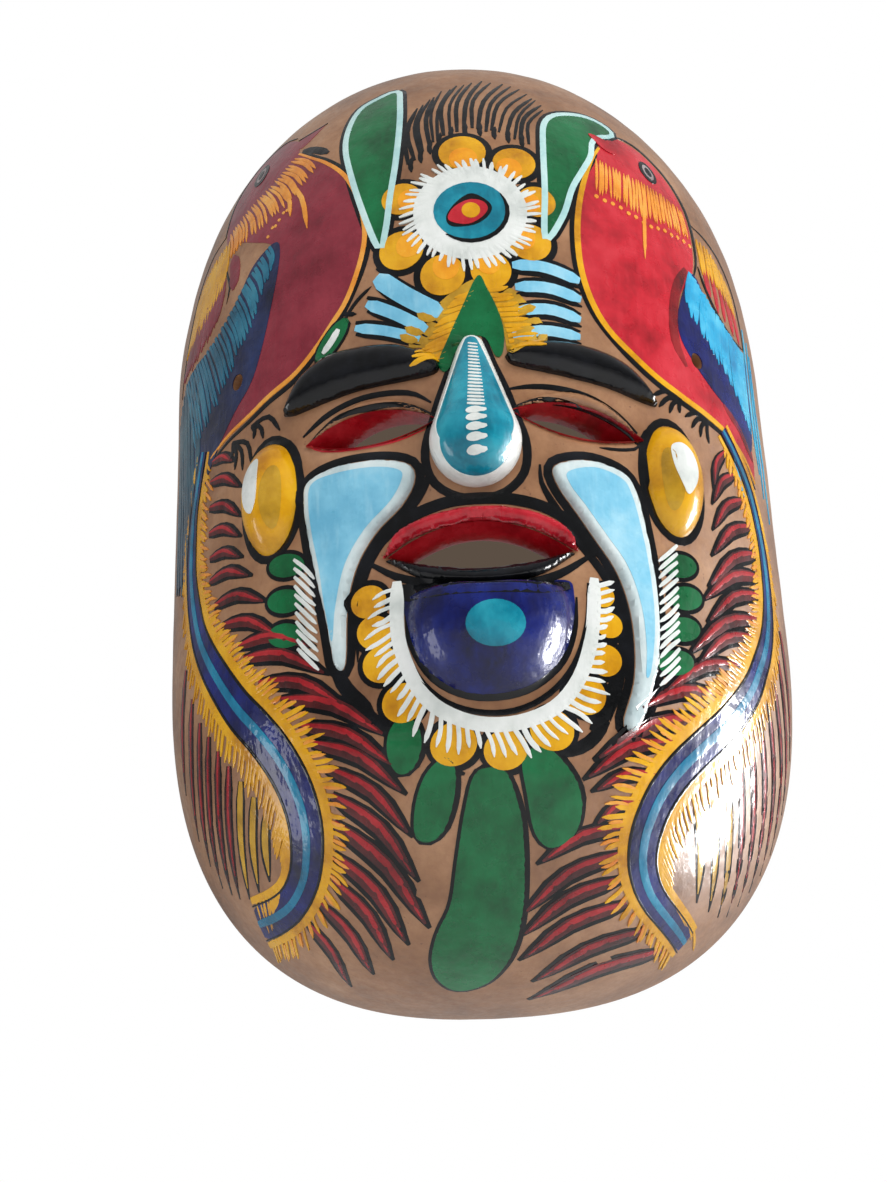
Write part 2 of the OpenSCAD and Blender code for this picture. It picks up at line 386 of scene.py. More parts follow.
def ranged(tree, value, low, high, from_low=0.3, from_high=0.7):
    node = tree.nodes.new("ShaderNodeMapRange")
    node.inputs["From Min"].default_value = from_low
    node.inputs["From Max"].default_value = from_high
    node.inputs["To Min"].default_value = low
    node.inputs["To Max"].default_value = high
    tree.links.new(value, node.inputs["Value"])
    return node.outputs["Result"]


def mixed(tree, factor, first, second, blend="MIX"):
    node = tree.nodes.new("ShaderNodeMix")
    node.data_type = "RGBA"
    node.blend_type = blend
    tree.links.new(factor, node.inputs["Factor"])
    for socket, value in ((node.inputs["A"], first), (node.inputs["B"], second)):
        if isinstance(value, tuple):
            socket.default_value = value
        else:
            tree.links.new(value, socket)
    return node.outputs["Result"]


def bumps(tree, shader, layers):
    """Chains bumps given as (height value, depth in metres, strength)."""
    last = None
    for height, depth, strength in layers:
        bump = tree.nodes.new("ShaderNodeBump")
        bump.inputs["Distance"].default_value = depth
        bump.inputs["Strength"].default_value = strength
        tree.links.new(height, bump.inputs["Height"])
        if last:
            tree.links.new(last, bump.inputs["Normal"])
        last = bump.outputs["Normal"]
    tree.links.new(last, shader.inputs["Normal"])
    tree.links.new(last, shader.inputs["Coat Normal"])


# %% Enamel
def enamel(name, main, dark, pale, streak=0.45, rough=(0.22, 0.38), coat=0.5, ripple=0.55):
    """Glossy brushed enamel in three tones."""
    material, tree, shader = new_material(name)
    pools = noise_node(tree, 75, detail=4, rough=0.6)
    bristles = noise_node(tree, 520, detail=2, stretch=(1, 1, 0.22))
    tone = ramp(tree, pools, [(0.30, dark), (0.50, main), (0.72, pale)])
    scraped = ranged(tree, bristles, 0, streak, 0.52, 0.85)
    shader_colour = mixed(tree, scraped, tone, pale)
    tree.links.new(shader_colour, shader.inputs["Base Color"])
    tree.links.new(ranged(tree, noise_node(tree, 160, detail=3), *rough), shader.inputs["Roughness"])
    shader.inputs["Coat Weight"].default_value = coat
    shader.inputs["Coat Roughness"].default_value = 0.045
    shader.inputs["Specular IOR Level"].default_value = 0.3
    bumps(tree, shader, [(noise_node(tree, 45, detail=2), 0.0009, ripple),
                         (noise_node(tree, 240, detail=2), 0.0003, 0.8),
                         (bristles, 0.0002, 0.5)])
    return material


black = enamel("black_enamel", srgb(9, 10, 13), srgb(4, 5, 6), srgb(22, 24, 30), rough=(0.12, 0.26),
               coat=0.25)
red = enamel("red_enamel", srgb(190, 28, 44), srgb(146, 14, 28), srgb(208, 54, 66))
# A darker red, used only for the walls inside the eyes and the mouth
opening_red = enamel("opening_red_enamel", srgb(150, 10, 22), srgb(104, 4, 12), srgb(184, 40, 48), coat=0.6)
crimson = enamel("crimson_enamel", srgb(128, 34, 50), srgb(104, 22, 36), srgb(146, 48, 62))
dark_red = enamel("dark_red_enamel", srgb(122, 18, 26), srgb(70, 10, 16), srgb(160, 34, 38))
green = enamel("green_enamel", srgb(0, 98, 52), srgb(0, 72, 36), srgb(4, 116, 66))
turquoise = enamel("turquoise_enamel", srgb(0, 128, 152), srgb(0, 92, 114), srgb(40, 166, 186))
light_blue = enamel("light_blue_enamel", srgb(128, 198, 226), srgb(104, 178, 210), srgb(168, 218, 236))
pale_mint = enamel("pale_mint_enamel", srgb(186, 222, 220), srgb(160, 204, 204), srgb(212, 236, 234))
bone_white = enamel("bone_white_enamel", srgb(204, 220, 222), srgb(176, 196, 200), srgb(226, 236, 236))
yellow = enamel("yellow_enamel", srgb(220, 158, 6), srgb(178, 116, 2), srgb(238, 182, 26))
ochre = enamel("ochre_enamel", srgb(188, 142, 28), srgb(140, 104, 20), srgb(220, 176, 52))
orange = enamel("orange_enamel", srgb(230, 148, 48), srgb(204, 114, 26), srgb(240, 178, 84))
amber = enamel("amber_enamel", srgb(238, 158, 22), srgb(214, 126, 10), srgb(246, 184, 50))
dark_blue = enamel("dark_blue_enamel", srgb(3, 14, 84), srgb(2, 6, 46), srgb(12, 34, 122))
navy = enamel("navy_enamel", srgb(18, 28, 66), srgb(9, 14, 38), srgb(34, 50, 96))
cyan = enamel("cyan_enamel", srgb(36, 166, 212), srgb(14, 124, 176), srgb(98, 200, 230))
teal = enamel("teal_enamel", srgb(28, 104, 132), srgb(14, 74, 98), srgb(52, 132, 156))
deep_teal = enamel("deep_teal_enamel", srgb(28, 72, 92), srgb(16, 48, 66), srgb(46, 96, 112))
stripe_blue = enamel("stripe_blue_enamel", srgb(4, 112, 150), srgb(2, 84, 114), srgb(28, 146, 182))
feather_red = enamel("feather_red_enamel", srgb(160, 24, 34), srgb(112, 14, 22), srgb(184, 44, 50))
maroon = enamel("maroon_enamel", srgb(74, 20, 22), srgb(44, 12, 14), srgb(110, 30, 32))
white = enamel("white_enamel", srgb(226, 230, 226), srgb(198, 204, 200), srgb(242, 244, 242))
print("enamels made")


# %% Clay
def clay_material(name, lacquer):
    """Terracotta with darker and paler clouds, fine specks and, in front, a clear lacquer."""
    material, tree, shader = new_material(name)
    clouds = noise_node(tree, 32, detail=5, rough=0.65)
    grain = noise_node(tree, 420, detail=4, rough=0.7)
    specks = noise_node(tree, 900, detail=2)
    tone = ramp(tree, clouds, [(0.30, srgb(118, 80, 52)), (0.50, srgb(156, 112, 78)),
                               (0.70, srgb(182, 138, 102))])
    grainy = mixed(tree, ranged(tree, grain, 0, 0.45, 0.45, 0.75), tone, srgb(134, 90, 66))
    dotted = mixed(tree, ranged(tree, specks, 0, 0.7, 0.70, 0.78), grainy, srgb(96, 62, 46))
    tree.links.new(dotted, shader.inputs["Base Color"])
    tree.links.new(ranged(tree, grain, 0.34, 0.55), shader.inputs["Roughness"])
    shader.inputs["Coat Weight"].default_value = lacquer
    shader.inputs["Coat Roughness"].default_value = 0.07
    bumps(tree, shader, [(noise_node(tree, 45, detail=2), 0.0009, 0.6),
                         (noise_node(tree, 190, detail=3, stretch=(1, 1, 0.4)), 0.0004, 0.9),
                         (grain, 0.0002, 0.5)])
    return material


lacquered_clay = clay_material("lacquered_clay", 0.45)

# %% [markdown]
# ## The shell
# The real shell is a slab of clay pressed over a form and trimmed flat at the back. Here a flat
# grid is thickened and then mapped on the form, so that one set of cells runs smoothly from rim
# to rim. The outside gets the slow unevenness of hand work, and the clay dips a little towards
# the eye and mouth openings, as it does where a wet finger has rounded a cut edge.

# %% Openings in the face
NOSE_X = 1.5
# Each eye's middle, seen from the front, and its turn in degrees anticlockwise
EYES = {"left": (-26.6, -7.2, 2), "right": (29.4, -7.4, -8)}
MOUTH = (1.5, -45)


def lens(centre, width, rise, drop, tilt=0.0, points=24):
    """Outline of a slot between two arcs, given as seen from the front."""
    t = np.linspace(-1, 1, points)
    x = np.concatenate([t, -t[1:-1]]) * width / 2
    y = np.concatenate([rise * (1 - t ** 2), -drop * (1 - t[1:-1] ** 2)])
    c, s = math.cos(math.radians(tilt)), math.sin(math.radians(tilt))
    return np.stack([centre[0] + c * x - s * y, centre[1] + s * x + c * y], -1)


EYE_W = 36.5
EYE_RISE = 5
EYE_DROP = 4.8
openings = {"eye_" + side: lens((x, up), EYE_W, EYE_RISE, EYE_DROP, turn)
            for side, (x, up, turn) in EYES.items()}
openings["mouth"] = lens(MOUTH, 48, 8, 5)
HOLE_REACH = 74
HOLE_UP = 21
HOLE_R = 2.5


def to_sheet(outline):
    return np.array([from_front(x, z) for x, z in outline])


def distance_to(outline, points):
    """Distance of each point from a closed outline's edge."""
    a = np.array(outline)
    b = np.roll(a, -1, axis=0)
    p = np.array(points)[:, None, :]
    edge = b - a
    t = np.clip(((p - a) * edge).sum(-1) / np.maximum((edge ** 2).sum(-1), 1e-9), 0, 1)
    return np.hypot(*np.moveaxis(p - (a + edge * t[..., None]), -1, 0)).min(1)


# %% The shell's clay
def reach_of(lift):
    """Lowest and highest place on the sheet that lies in front of the rim's plane."""
    ups = np.linspace(profile_up[0], profile_up[-1], 3000)
    inside = ups[profile_at(ups, lift)[0] >= BEHIND]
    return inside[0], inside[-1]


def shell_point(share_across, share_up, lift):
    """Point on the shell for shares from -1 to 1 of its width and height, in millimetres too."""
    low, high = reach_of_lift[lift >= -PAINT_ROOM - 2]
    up = (low + high) / 2 + share_up * (high - low) / 2
    radius, height = profile_at(up, lift)
    turn = share_across * math.acos(min(1, BEHIND / radius))
    return radius * math.sin(turn), BEHIND - radius * math.cos(turn), height, turn * radius, up


reach_of_lift = {True: reach_of(-PAINT_ROOM), False: reach_of(-WALL)}


def unevenness(across, up):
    """Height of the slow dents and swellings that a hand leaves in wet clay."""
    slow = noise.noise(Vector((across / 34, up / 34, 3.1)))
    quick = noise.noise(Vector((across / 9, up / 9, 7.7)))
    return 0.45 * slow + 0.12 * quick


def closer_in_middle(share):
    """Moves grid lines, numbered -1 to 1, so that they stand closer round the face's middle."""
    return 0.6 * share + 0.4 * share ** 3


def build_shell():
    flat = bmesh.new()
    bmesh.ops.create_grid(flat, x_segments=172, y_segments=240, size=1)
    for vert in flat.verts:
        vert.co.x, vert.co.y = closer_in_middle(vert.co.x), closer_in_middle(vert.co.y)
    made = bmesh.ops.extrude_face_region(flat, geom=flat.faces[:])
    outer = {g for g in made["geom"] if isinstance(g, bmesh.types.BMVert)}
    places = []
    for vert in flat.verts:
        lift = -PAINT_ROOM if vert in outer else -WALL
        x, y, z, across, up = shell_point(vert.co.x, vert.co.y, lift)
        vert.co = (x, y, z)
        if vert in outer:
            places.append((vert, across, up))
    spots = [(across, up) for _, across, up in places]
    dips = sum(1.3 * np.exp(-distance_to(to_sheet(o), spots) / 1.6) for o in openings.values())
    for (vert, across, up), dip in zip(places, dips):
        out = Vector(on_shell(across, up, 1.0)) - Vector(on_shell(across, up, 0.0))
        fade = min(1, -vert.co.y / 6)
        vert.co += out / MM * (unevenness(across, up) * fade - dip)
        vert.co.y = min(vert.co.y, 0)
    bmesh.ops.scale(flat, vec=(MM, MM, MM), verts=flat.verts[:])
    return flat


shell = make_object("clay_shell", build_shell(), lacquered_clay, replaces=("shell",))
shell_tree = surface_tree([shell])

# %% [markdown]
# ## The clay pieces laid on the shell
# Brows, eyelids, lips, chin and cheek pads were rolled or patted flat, laid on the wet shell and
# rounded with a finger. Each is a flat outline, cut in small cells and raised by a height that
# grows from its edge, then wrapped on the shell and sunk a little into it. The nose and the ear
# bosses are rounder: they start as a turned teardrop and a ball, pressed on the shell's curve.

# %% Pads
INTO_CLAY = 1.2


def rounded(distance, height, edge):
    """Height at a distance from a pad's edge, for a quarter-round edge of the width given."""
    return height * np.sqrt(1 - (1 - np.minimum(1, distance / edge)) ** 2)


def pad(name, outline, height_at, material, node, cell=0.9):
    """Makes a relief piece. `height_at` gives heights for arrays of places and edge distances."""
    flat = bmesh.new()
    flat.faces.new([flat.verts.new((x, y, 0)) for x, y in outline])
    bmesh.ops.triangulate(flat, faces=flat.faces[:])
    cut_in_cells(flat, cell)
    made = bmesh.ops.extrude_face_region(flat, geom=flat.faces[:])
    tops = [g for g in made["geom"] if isinstance(g, bmesh.types.BMVert)]
    places = np.array([v.co[:2] for v in tops])
    heights = height_at(places, distance_to(outline, places))
    for vert in flat.verts:
        vert.co.z = -INTO_CLAY
    for vert, height in zip(tops, heights):
        vert.co.z = height
    wrap(flat, shell_tree)
    return make_object(name, flat, material, replaces=(node,))


def between(upper, lower):
    """Outline between two smooth curves that run the same way and share their ends."""
    top, bottom = smooth(upper), smooth(lower)
    return np.concatenate([top, bottom[-2:0:-1]])


# %% Brows
BROW_H = 4.6
brow_left_outline = between(
    [(-54.5, 3), (-50, 11), (-45, 15), (-38, 17.4), (-30, 17.8), (-20, 16.8), (-12.5, 14), (-8.4, 11.4),
     (-7.2, 8.6)],
    [(-54.5, 3), (-50, 2.2), (-40, 3.4), (-30, 4.6), (-20, 5), (-11.5, 5.8), (-8.2, 6.8), (-7.2, 8.6)])
brow_right_outline = between(
    [(10.4, 10.6), (12, 13), (15.4, 14.8), (21, 15.8), (30, 16), (40, 14.2), (47, 11), (52, 6.6), (56, 1)],
    [(10.4, 10.6), (12.6, 8.2), (20, 6.6), (30, 5.2), (40, 3.8), (50, 1.5), (56, 1)])


def brow_height(places, distance):
    return rounded(distance, BROW_H, 5.5) - 0.2


relief = [
    pad("brow_left_clay", brow_left_outline, brow_height, black, "brow_left"),
    pad("brow_right_clay", brow_right_outline, brow_height, black, "brow_right"),
]

# %% Eyelids
LID_W = 3.5
# Half the width and the rise of the roll's outer and inner rim
LID_OUTER = (18.7, EYE_RISE + LID_W)
LID_INNER = (18.2, 5.2)


def lid(side):
    name = "eyelid_" + side
    x_middle, up_middle, turn = EYES[side]
    c, s = math.cos(math.radians(turn)), math.sin(math.radians(turn))
    t = np.linspace(-1, 1, 20)
    rims = []
    for half, rise in (LID_OUTER, LID_INNER):
        x, y = half * t, rise * (1 - t ** 2)
        rims.append([from_front(x_middle + c * i - s * j, up_middle + s * i + c * j)
                     for i, j in zip(x, y)])
    outline = rims[0] + rims[1][-2:0:-1]
    return pad(name + "_clay", outline, lambda places, distance: rounded(distance, 2.0, 1.9) - 0.2,
               lacquered_clay, name, cell=0.7)


relief += [lid("left"), lid("right")]

# %% Lips
LIP_TOP = between([(-25, -45.5), (-20.5, -38.9), (-13, -35.3), (-5, -33.5), (2, -33), (9, -33.5),
                   (18, -35.7),
                   (25, -39.8), (28, -45.5)],
                  [(-25, -45.5), (-16, -40.3), (-7, -37.6), (2, -36.9), (11, -37.8), (19, -40.6),
                   (28, -45.5)])
LIP_BOTTOM = between([(-24.5, -45.5), (-12, -48.6), (2, -50.1), (15, -48.8), (27.5, -45.5)],
                     [(-24.5, -45.5), (-13, -52.4), (2, -54.6), (16, -52.6), (27.5, -45.5)])
mouth_edge = to_sheet(openings["mouth"])


def lip_height(full):
    """A lip swells from the opening's rounded edge to a crest near its outer edge."""
    def height(places, distance):
        share = distance_to(mouth_edge, places)
        share = share / np.maximum(share + distance, 0.01)
        swell = np.sin(np.clip(share * 1.05, 0, 1) * math.pi / 2)
        return full * swell * rounded(distance, 1, 2.4) - 0.2
    return height


relief += [
    pad("upper_lip_clay", LIP_TOP, lip_height(4.4), red, "upper_lip", cell=0.7),
    pad("lower_lip_clay", LIP_BOTTOM, lip_height(3.2), black, "lower_lip", cell=0.7),
]

# %% Chin
CHIN_MIDDLE = (3.2, -63)
CHIN_R = 21.5
CHIN_H = 11.5
DOME_R = (CHIN_R ** 2 + CHIN_H ** 2) / (2 * CHIN_H)
chin_outline = between([(-18.2, -55.5), (-8, -55), (2, -55.6), (14, -55), (24.6, -55)],
                       [(-18.2, -55.5), (-18.6, -63), (-16, -73), (-8, -82), (2, -84.6), (13, -82.5),
                        (21.5, -74.5), (24.6, -64), (24.6, -55)])


def chin_height(places, distance):
    """A dome, notched by the crease under the lip and softened at its edge."""
    off = np.hypot(*(places - CHIN_MIDDLE).T)
    dome = np.sqrt(np.maximum(DOME_R ** 2 - off ** 2, 0)) - (DOME_R - CHIN_H)
    return np.maximum(dome, 0) * rounded(distance, 1, 2.5) - 0.2


relief.append(pad("chin_clay", chin_outline, chin_height, dark_blue, "chin"))

# %% Cheek pads
cheek_left_outline = smooth(
    [(-46, -19.5), (-37, -16.8), (-25, -17), (-16.5, -19.5), (-15.3, -24.5), (-19, -31), (-26, -37.5),
     (-31.5, -46), (-34.5, -57), (-35.6, -72), (-38.4, -72), (-40.5, -60), (-43.5, -47),
     (-46, -35), (-47.3, -26)], closed=True)
cheek_right_outline = smooth(
    [(21.8, -22.5), (25, -20), (33, -19), (42, -21.5), (45.6, -26.5), (47.6, -36), (49.2, -50),
     (49.4, -64), (47.3, -77.5), (41.3, -91.5), (37.2, -90.5), (40.8, -80), (41.8, -70), (41, -60),
     (37.8, -50), (33, -42.5), (27.5, -34), (23.6, -28)], closed=True)


def cheek_height(places, distance):
    return rounded(distance, 2.3, 1.3) - 0.2


relief += [
    pad("cheek_left_clay", cheek_left_outline, cheek_height, bone_white, "cheek_left"),
    pad("cheek_right_clay", cheek_right_outline, cheek_height, bone_white,
        "cheek_right"),
]


# %% Nose and ear bosses
def press_on_shell(solid):
    """Pushes the back of a round lump, given in millimetres, on the shell's straight middle."""
    for vert in solid.verts:
        x, y = vert.co.x, vert.co.y - BEHIND
        lift = math.hypot(x, y) - (RADIUS - PAINT_ROOM)
        if lift < -INTO_CLAY:
            share = (RADIUS - PAINT_ROOM - INTO_CLAY) / math.hypot(x, y)
            vert.co.x = x * share
            vert.co.y = BEHIND + y * share
    bmesh.ops.scale(solid, vec=(MM, MM, MM), verts=solid.verts[:])


def turned(solid, profile, steps):
    """Spins a half profile of (radius, height) points about the Z axis into a closed solid."""
    verts = [solid.verts.new((r, 0, h)) for r, h in profile]
    edges = [solid.edges.new(pair) for pair in zip(verts, verts[1:])]
    bmesh.ops.spin(solid, geom=verts + edges, cent=(0, 0, 0), axis=(0, 0, 1), steps=steps,
                   angle=2 * math.pi, use_merge=True)
    bmesh.ops.remove_doubles(solid, verts=solid.verts[:], dist=0.01)


TIP_R = 12
TOP_R = 3.5
TIP_UP = -16
TOP_UP = 13.5
TIP_LIFT = 4
# Y of the shell's front where the nose stands on it
NOSE_FOOT = BEHIND - math.sqrt(RADIUS ** 2 - NOSE_X ** 2) + PAINT_ROOM


def build_nose(coat=0.0):
    """A teardrop: a large ball and a small ball joined by a cone, leaning on the forehead. A coat
    of paint is the same shape, larger all round by its thickness."""
    solid = bmesh.new()
    tip_r, top_r = TIP_R + coat, TOP_R + coat
    length = math.hypot(TOP_UP - TIP_UP, TIP_LIFT)
    cone = math.asin((tip_r - top_r) / length)
    low = np.linspace(-math.pi / 2, cone, 24)
    high = np.linspace(cone, math.pi / 2, 12)
    sides = np.linspace(0, 1, 14)[1:-1]
    profile = [(tip_r * math.cos(a), tip_r * math.sin(a)) for a in low]
    foot, head = profile[-1], (top_r * math.cos(cone), length + top_r * math.sin(cone))
    profile += [(foot[0] + (head[0] - foot[0]) * s, foot[1] + (head[1] - foot[1]) * s) for s in sides]
    profile += [(top_r * math.cos(a), length + top_r * math.sin(a)) for a in high]
    turned(solid, profile, 72)
    lean = math.atan2(TIP_LIFT, TOP_UP - TIP_UP)
    for vert in solid.verts:
        y, z = vert.co.y, vert.co.z
        vert.co = (vert.co.x + NOSE_X, NOSE_FOOT - TIP_LIFT + y * math.cos(lean) + z * math.sin(lean),
                   TIP_UP - y * math.sin(lean) + z * math.cos(lean))
    press_on_shell(solid)
    return solid


EAR_REACH = 59.3
EAR_UP = -20.5
EAR_HALF_W = 9.9
EAR_HALF_H = 17
EAR_SUNK = 2.5


def build_ear(side):
    solid = bmesh.new()
    bmesh.ops.create_uvsphere(solid, u_segments=40, v_segments=40, radius=1)
    turn = side * EAR_REACH / RADIUS
    for vert in solid.verts:
        x, y, z = vert.co.x * EAR_HALF_W, vert.co.y * EAR_HALF_W, vert.co.z * EAR_HALF_H
        y -= RADIUS - PAINT_ROOM - EAR_SUNK
        vert.co = (x * math.cos(turn) - y * math.sin(turn),
                   BEHIND + x * math.sin(turn) + y * math.cos(turn), EAR_UP + z)
    press_on_shell(solid)
    return solid


relief.append(make_object("nose_clay", build_nose(), turquoise, replaces=("nose",)))
for side, name in ((-1, "ear_left"), (1, "ear_right")):
    relief.append(make_object(name + "_clay", build_ear(side), yellow, replaces=(name,)))
clay_tree = surface_tree([shell] + relief)

# %% [markdown]
# ## Cutting the eyes, the mouth and the cord holes
# The potter cut these right through the wet wall. The eyes and the mouth are cut straight towards
# the viewer, and the two cord holes square to the curved wall, so that a thong lies well in them.
# A Boolean modifier does the cuts, and is applied so that no cutter is left in the scene. The red
# walls of the eyes and the mouth slope inwards to a smaller opening at the back, as a knife held at
# a slant leaves them. Each wall is a closed ring of its own between two outlines.

# %% Cuts
def front_y(x, up):
    radius = np.interp(up, profile_z, profile_r) - PAINT_ROOM
    return BEHIND - math.sqrt(radius ** 2 - x ** 2)


def prism(outline, near, far):
    """A closed prism of a front outline, from y = near to y = far, in millimetres."""
    solid = bmesh.new()
    face = solid.faces.new([solid.verts.new((x, near, z)) for x, z in outline])
    made = bmesh.ops.extrude_face_region(solid, geom=[face])
    for item in made["geom"]:
        if isinstance(item, bmesh.types.BMVert):
            item.co.y = far
    bmesh.ops.recalc_face_normals(solid, faces=solid.faces[:])
    bmesh.ops.scale(solid, vec=(MM, MM, MM), verts=solid.verts[:])
    return solid


def hole_cutter(side):
    solid = bmesh.new()
    bmesh.ops.create_cone(solid, cap_ends=True, segments=32, radius1=HOLE_R, radius2=HOLE_R, depth=40)
    turn = side * HOLE_REACH / RADIUS
    for vert in solid.verts:
        x, y, z = vert.co.x, vert.co.z - RADIUS, vert.co.y
        vert.co = (x * math.cos(turn) - y * math.sin(turn),
                   BEHIND + x * math.sin(turn) + y * math.cos(turn), HOLE_UP + z)
    bmesh.ops.recalc_face_normals(solid, faces=solid.faces[:])
    bmesh.ops.scale(solid, vec=(MM, MM, MM), verts=solid.verts[:])
    return solid


def cut(piece, solid):
    """Cuts a closed bmesh out of a piece."""
    mesh = bpy.data.meshes.new("cutter")
    solid.to_mesh(mesh)
    solid.free()
    cutter = bpy.data.objects.new("cutter", mesh)
    bpy.context.scene.collection.objects.link(cutter)
    modifier = piece.modifiers.new("cut", "BOOLEAN")
    modifier.operation = "DIFFERENCE"
    modifier.solver = "EXACT"
    modifier.object = cutter
    result = bpy.data.meshes.new_from_object(
        piece.evaluated_get(bpy.context.evaluated_depsgraph_get()))
    piece.modifiers.remove(modifier)
    piece.data = result
    bpy.data.objects.remove(cutter)


for outline in openings.values():
    cut(shell, prism(outline, -120, -30))
for side in (-1, 1):
    cut(shell, hole_cutter(side))
edge_uses = np.bincount([edge for face in shell.data.polygons for edge in (
    shell.data.loops[corner].edge_index for corner in face.loop_indices)])
print("shell after the cuts:", len(shell.data.polygons), "faces,", (edge_uses != 2).sum(), "open edges")


# %% Painted walls of the openings
REVEAL_DEPTH = 6
# The smaller inner opening that each painted wall narrows down to
inner_openings = {
    "eye_left": lens((-22.2, -7.8), 27, 3.2, 3.4, 7),
    "eye_right": lens((25.4, -8.8), 28, 3.2, 3.4, -12),
    "mouth": lens((1.6, -45.6), 37, 5.4, 3),
}


def build_reveal(outer, inner):
    """A closed ring of painted clay in an opening, which slopes from the front to the inner edge."""
    solid = bmesh.new()
    fronts = [front_y(x, z) + 0.1 for x, z in outer]
    rings = []
    for outline, depth in ((outer, 0), (inner, REVEAL_DEPTH - 1), (inner, REVEAL_DEPTH),
                           (outer, REVEAL_DEPTH)):
        ring = [solid.verts.new((x, front + depth, z)) for (x, z), front in zip(outline, fronts)]
        rings.append([solid.edges.new(pair) for pair in zip(ring, ring[1:] + ring[:1])])
    for first, second in zip(rings, rings[1:] + rings[:1]):
        bmesh.ops.bridge_loops(solid, edges=first + second)
    bmesh.ops.recalc_face_normals(solid, faces=solid.faces[:])
    bmesh.ops.subdivide_edges(solid, edges=[e for e in solid.edges if e.calc_length() > 2.5], cuts=1)
    bmesh.ops.scale(solid, vec=(MM, MM, MM), verts=solid.verts[:])
    return solid


for name, outline in openings.items():
    make_object(name + "_reveal", build_reveal(outline, inner_openings[name]), opening_red)

# %% [markdown]
# ## The forehead flower
# A painter builds a flower from the outside in: black ground, yellow petals, then a thick white
# ring whose edge is pulled outwards in short strokes, and last the coloured eye. Later paint lies
# over earlier paint, so each motif here has a layer number, a tenth of a millimetre apart.

# %% Flower
FLOWER = np.array([3.0, 58.0])
PETALS = [(1.5, 81, 7.5), (16.5, 76.5, 6.8), (22.3, 62, 6), (19.5, 47.5, 6.6), (8, 37.8, 6.2),
          (-5.5, 37, 6.8),
          (-17, 46.5, 6.8), (-16.5, 64.5, 6.2)]


def draw_petals(grow, layer):
    def draw(flat):
        for x, y, size in PETALS:
            out = np.array([x, y]) - FLOWER
            turn = math.degrees(math.atan2(out[1], out[0]))
            film(flat, oval((x, y), size * 0.95 + grow, size * 0.92 + grow, turn), layer)
    return draw


def draw_petal_hearts(flat):
    for x, y, size in PETALS:
        inner = FLOWER + (np.array([x, y]) - FLOWER) * 0.88
        film(flat, oval(inner, size * 0.55, size * 0.6, jitter(40)), 3.6)


def draw_white_ring(flat):
    stroke(flat, oval(FLOWER, 13.2, 13.6), 6.2, 4, closed=True, bend=False, crown=0.1)
    count = 52
    for i in range(count):
        angle = 2 * math.pi * i / count + jitter(0.03)
        lean = angle + 0.32
        start = FLOWER + 13.5 * np.array([math.cos(angle), math.sin(angle)])
        end = start + (6.4 + jitter(1.0)) * np.array([math.cos(lean), math.sin(lean)])
        dab(flat, start, end, 1.15 + jitter(0.2), 4.5, jitter(0.3), tips=(0.8, 0.45))


def draw_flower_eye(flat):
    film(flat, oval(FLOWER + (0.2, 0.1), 10.6, 10.2), 5)


def draw_flower_lines(flat):
    arc = [FLOWER + 10.6 * np.array([math.cos(a), math.sin(a)]) for a in np.linspace(-2.3, 0.6, 9)]
    stroke(flat, arc, 1.3, 5.6, tips=(0.2, 0.2))
    film(flat, smooth([(-3.8, 56), (-1, 60.8), (3.4, 64), (7.8, 61.4), (9.2, 58.4), (7.2, 54.8),
                       (3.2, 52.6),
                       (-2.4, 52.6)], closed=True), 5.6)


paint("flower_ground", draw_petals(2.0, 1), black)
paint("flower_petals", draw_petals(0, 3), yellow)
paint("flower_petal_hearts", draw_petal_hearts, amber)
paint("flower_ring", draw_white_ring, white)
paint("flower_eye", draw_flower_eye, turquoise)
paint("flower_lines", draw_flower_lines, black)
paint("flower_centre", lambda flat: film(flat, smooth(
    [(-3.2, 54.8), (-1.8, 58.8), (2.6, 61.6), (6.6, 61), (8, 58.2), (5.6, 54.8), (1.6, 53)], closed=True),
    6.4),
    red)
paint("flower_seed", lambda flat: film(flat, oval((3.2, 57.8), 2.6, 2.7), 7.2), yellow)

# %% [markdown]
# ## Hair and leaves of the forehead
# The hair is a row of long black strokes, all drawn from the flower upwards with one bend to the right, so
# it is a loop between two listed rows. Each leaf is a green field with a mint-white line round it and a
# black shadow line outside that.

# %% Hair
HAIR_ROOTS = smooth([(-14, 78), (-10, 82.5), (-6, 87.5), (-1, 91), (5, 92), (11, 90.5), (16, 88.5),
                     (21, 86.5)],
                    steps=8)
HAIR_TIPS = smooth([(-12.5, 103), (-9, 109), (-4, 115.5), (1, 120.5), (7, 124), (13, 123.5), (19, 120),
                    (24, 115), (27.5, 106)], steps=8)


def draw_hair(flat):
    count = 20
    shares = np.linspace(0, 1, count)
    roots, _ = along(HAIR_ROOTS, shares)
    tips, _ = along(HAIR_TIPS, shares)
    for root, tip in zip(roots, tips):
        dab(flat, root + (jitter(0.5), jitter(1)), tip + (jitter(0.6), jitter(1.2)), 1.25 + jitter(0.25),
            1.2,
            2.2 + jitter(0.5), tips=(0.7, 0.35))
    for root in roots[::2]:
        dab(flat, root + (0.6, -3.5), root + (0.9, 3), 1.5, 1.0, 0.4)


paint("hair_strokes", draw_hair, black)

# %% Leaves
LEFT_LEAF = smooth([(-17.6, 121), (-23, 119), (-29.5, 113.5), (-33, 103), (-34, 92), (-32.3, 80),
                    (-28.6, 64),
                    (-23.6, 48.5), (-21.4, 54), (-19.8, 66), (-18, 80), (-16.8, 97), (-16.8, 112)],
                    closed=True)
RIGHT_LEAF = smooth([(24.2, 49), (25, 66), (25.6, 83), (26.8, 97), (31, 104), (38.5, 107.3), (45.5, 107),
                     (50.3, 103.4), (50.2, 99.6), (45, 96.4), (42.2, 92), (41, 85), (37.4, 77), (33.6, 69),
                     (30, 58)], closed=True)


def draw_leaf_lines(outline, width, layer):
    return lambda flat: stroke(flat, outline, width, layer, closed=True, bend=False)


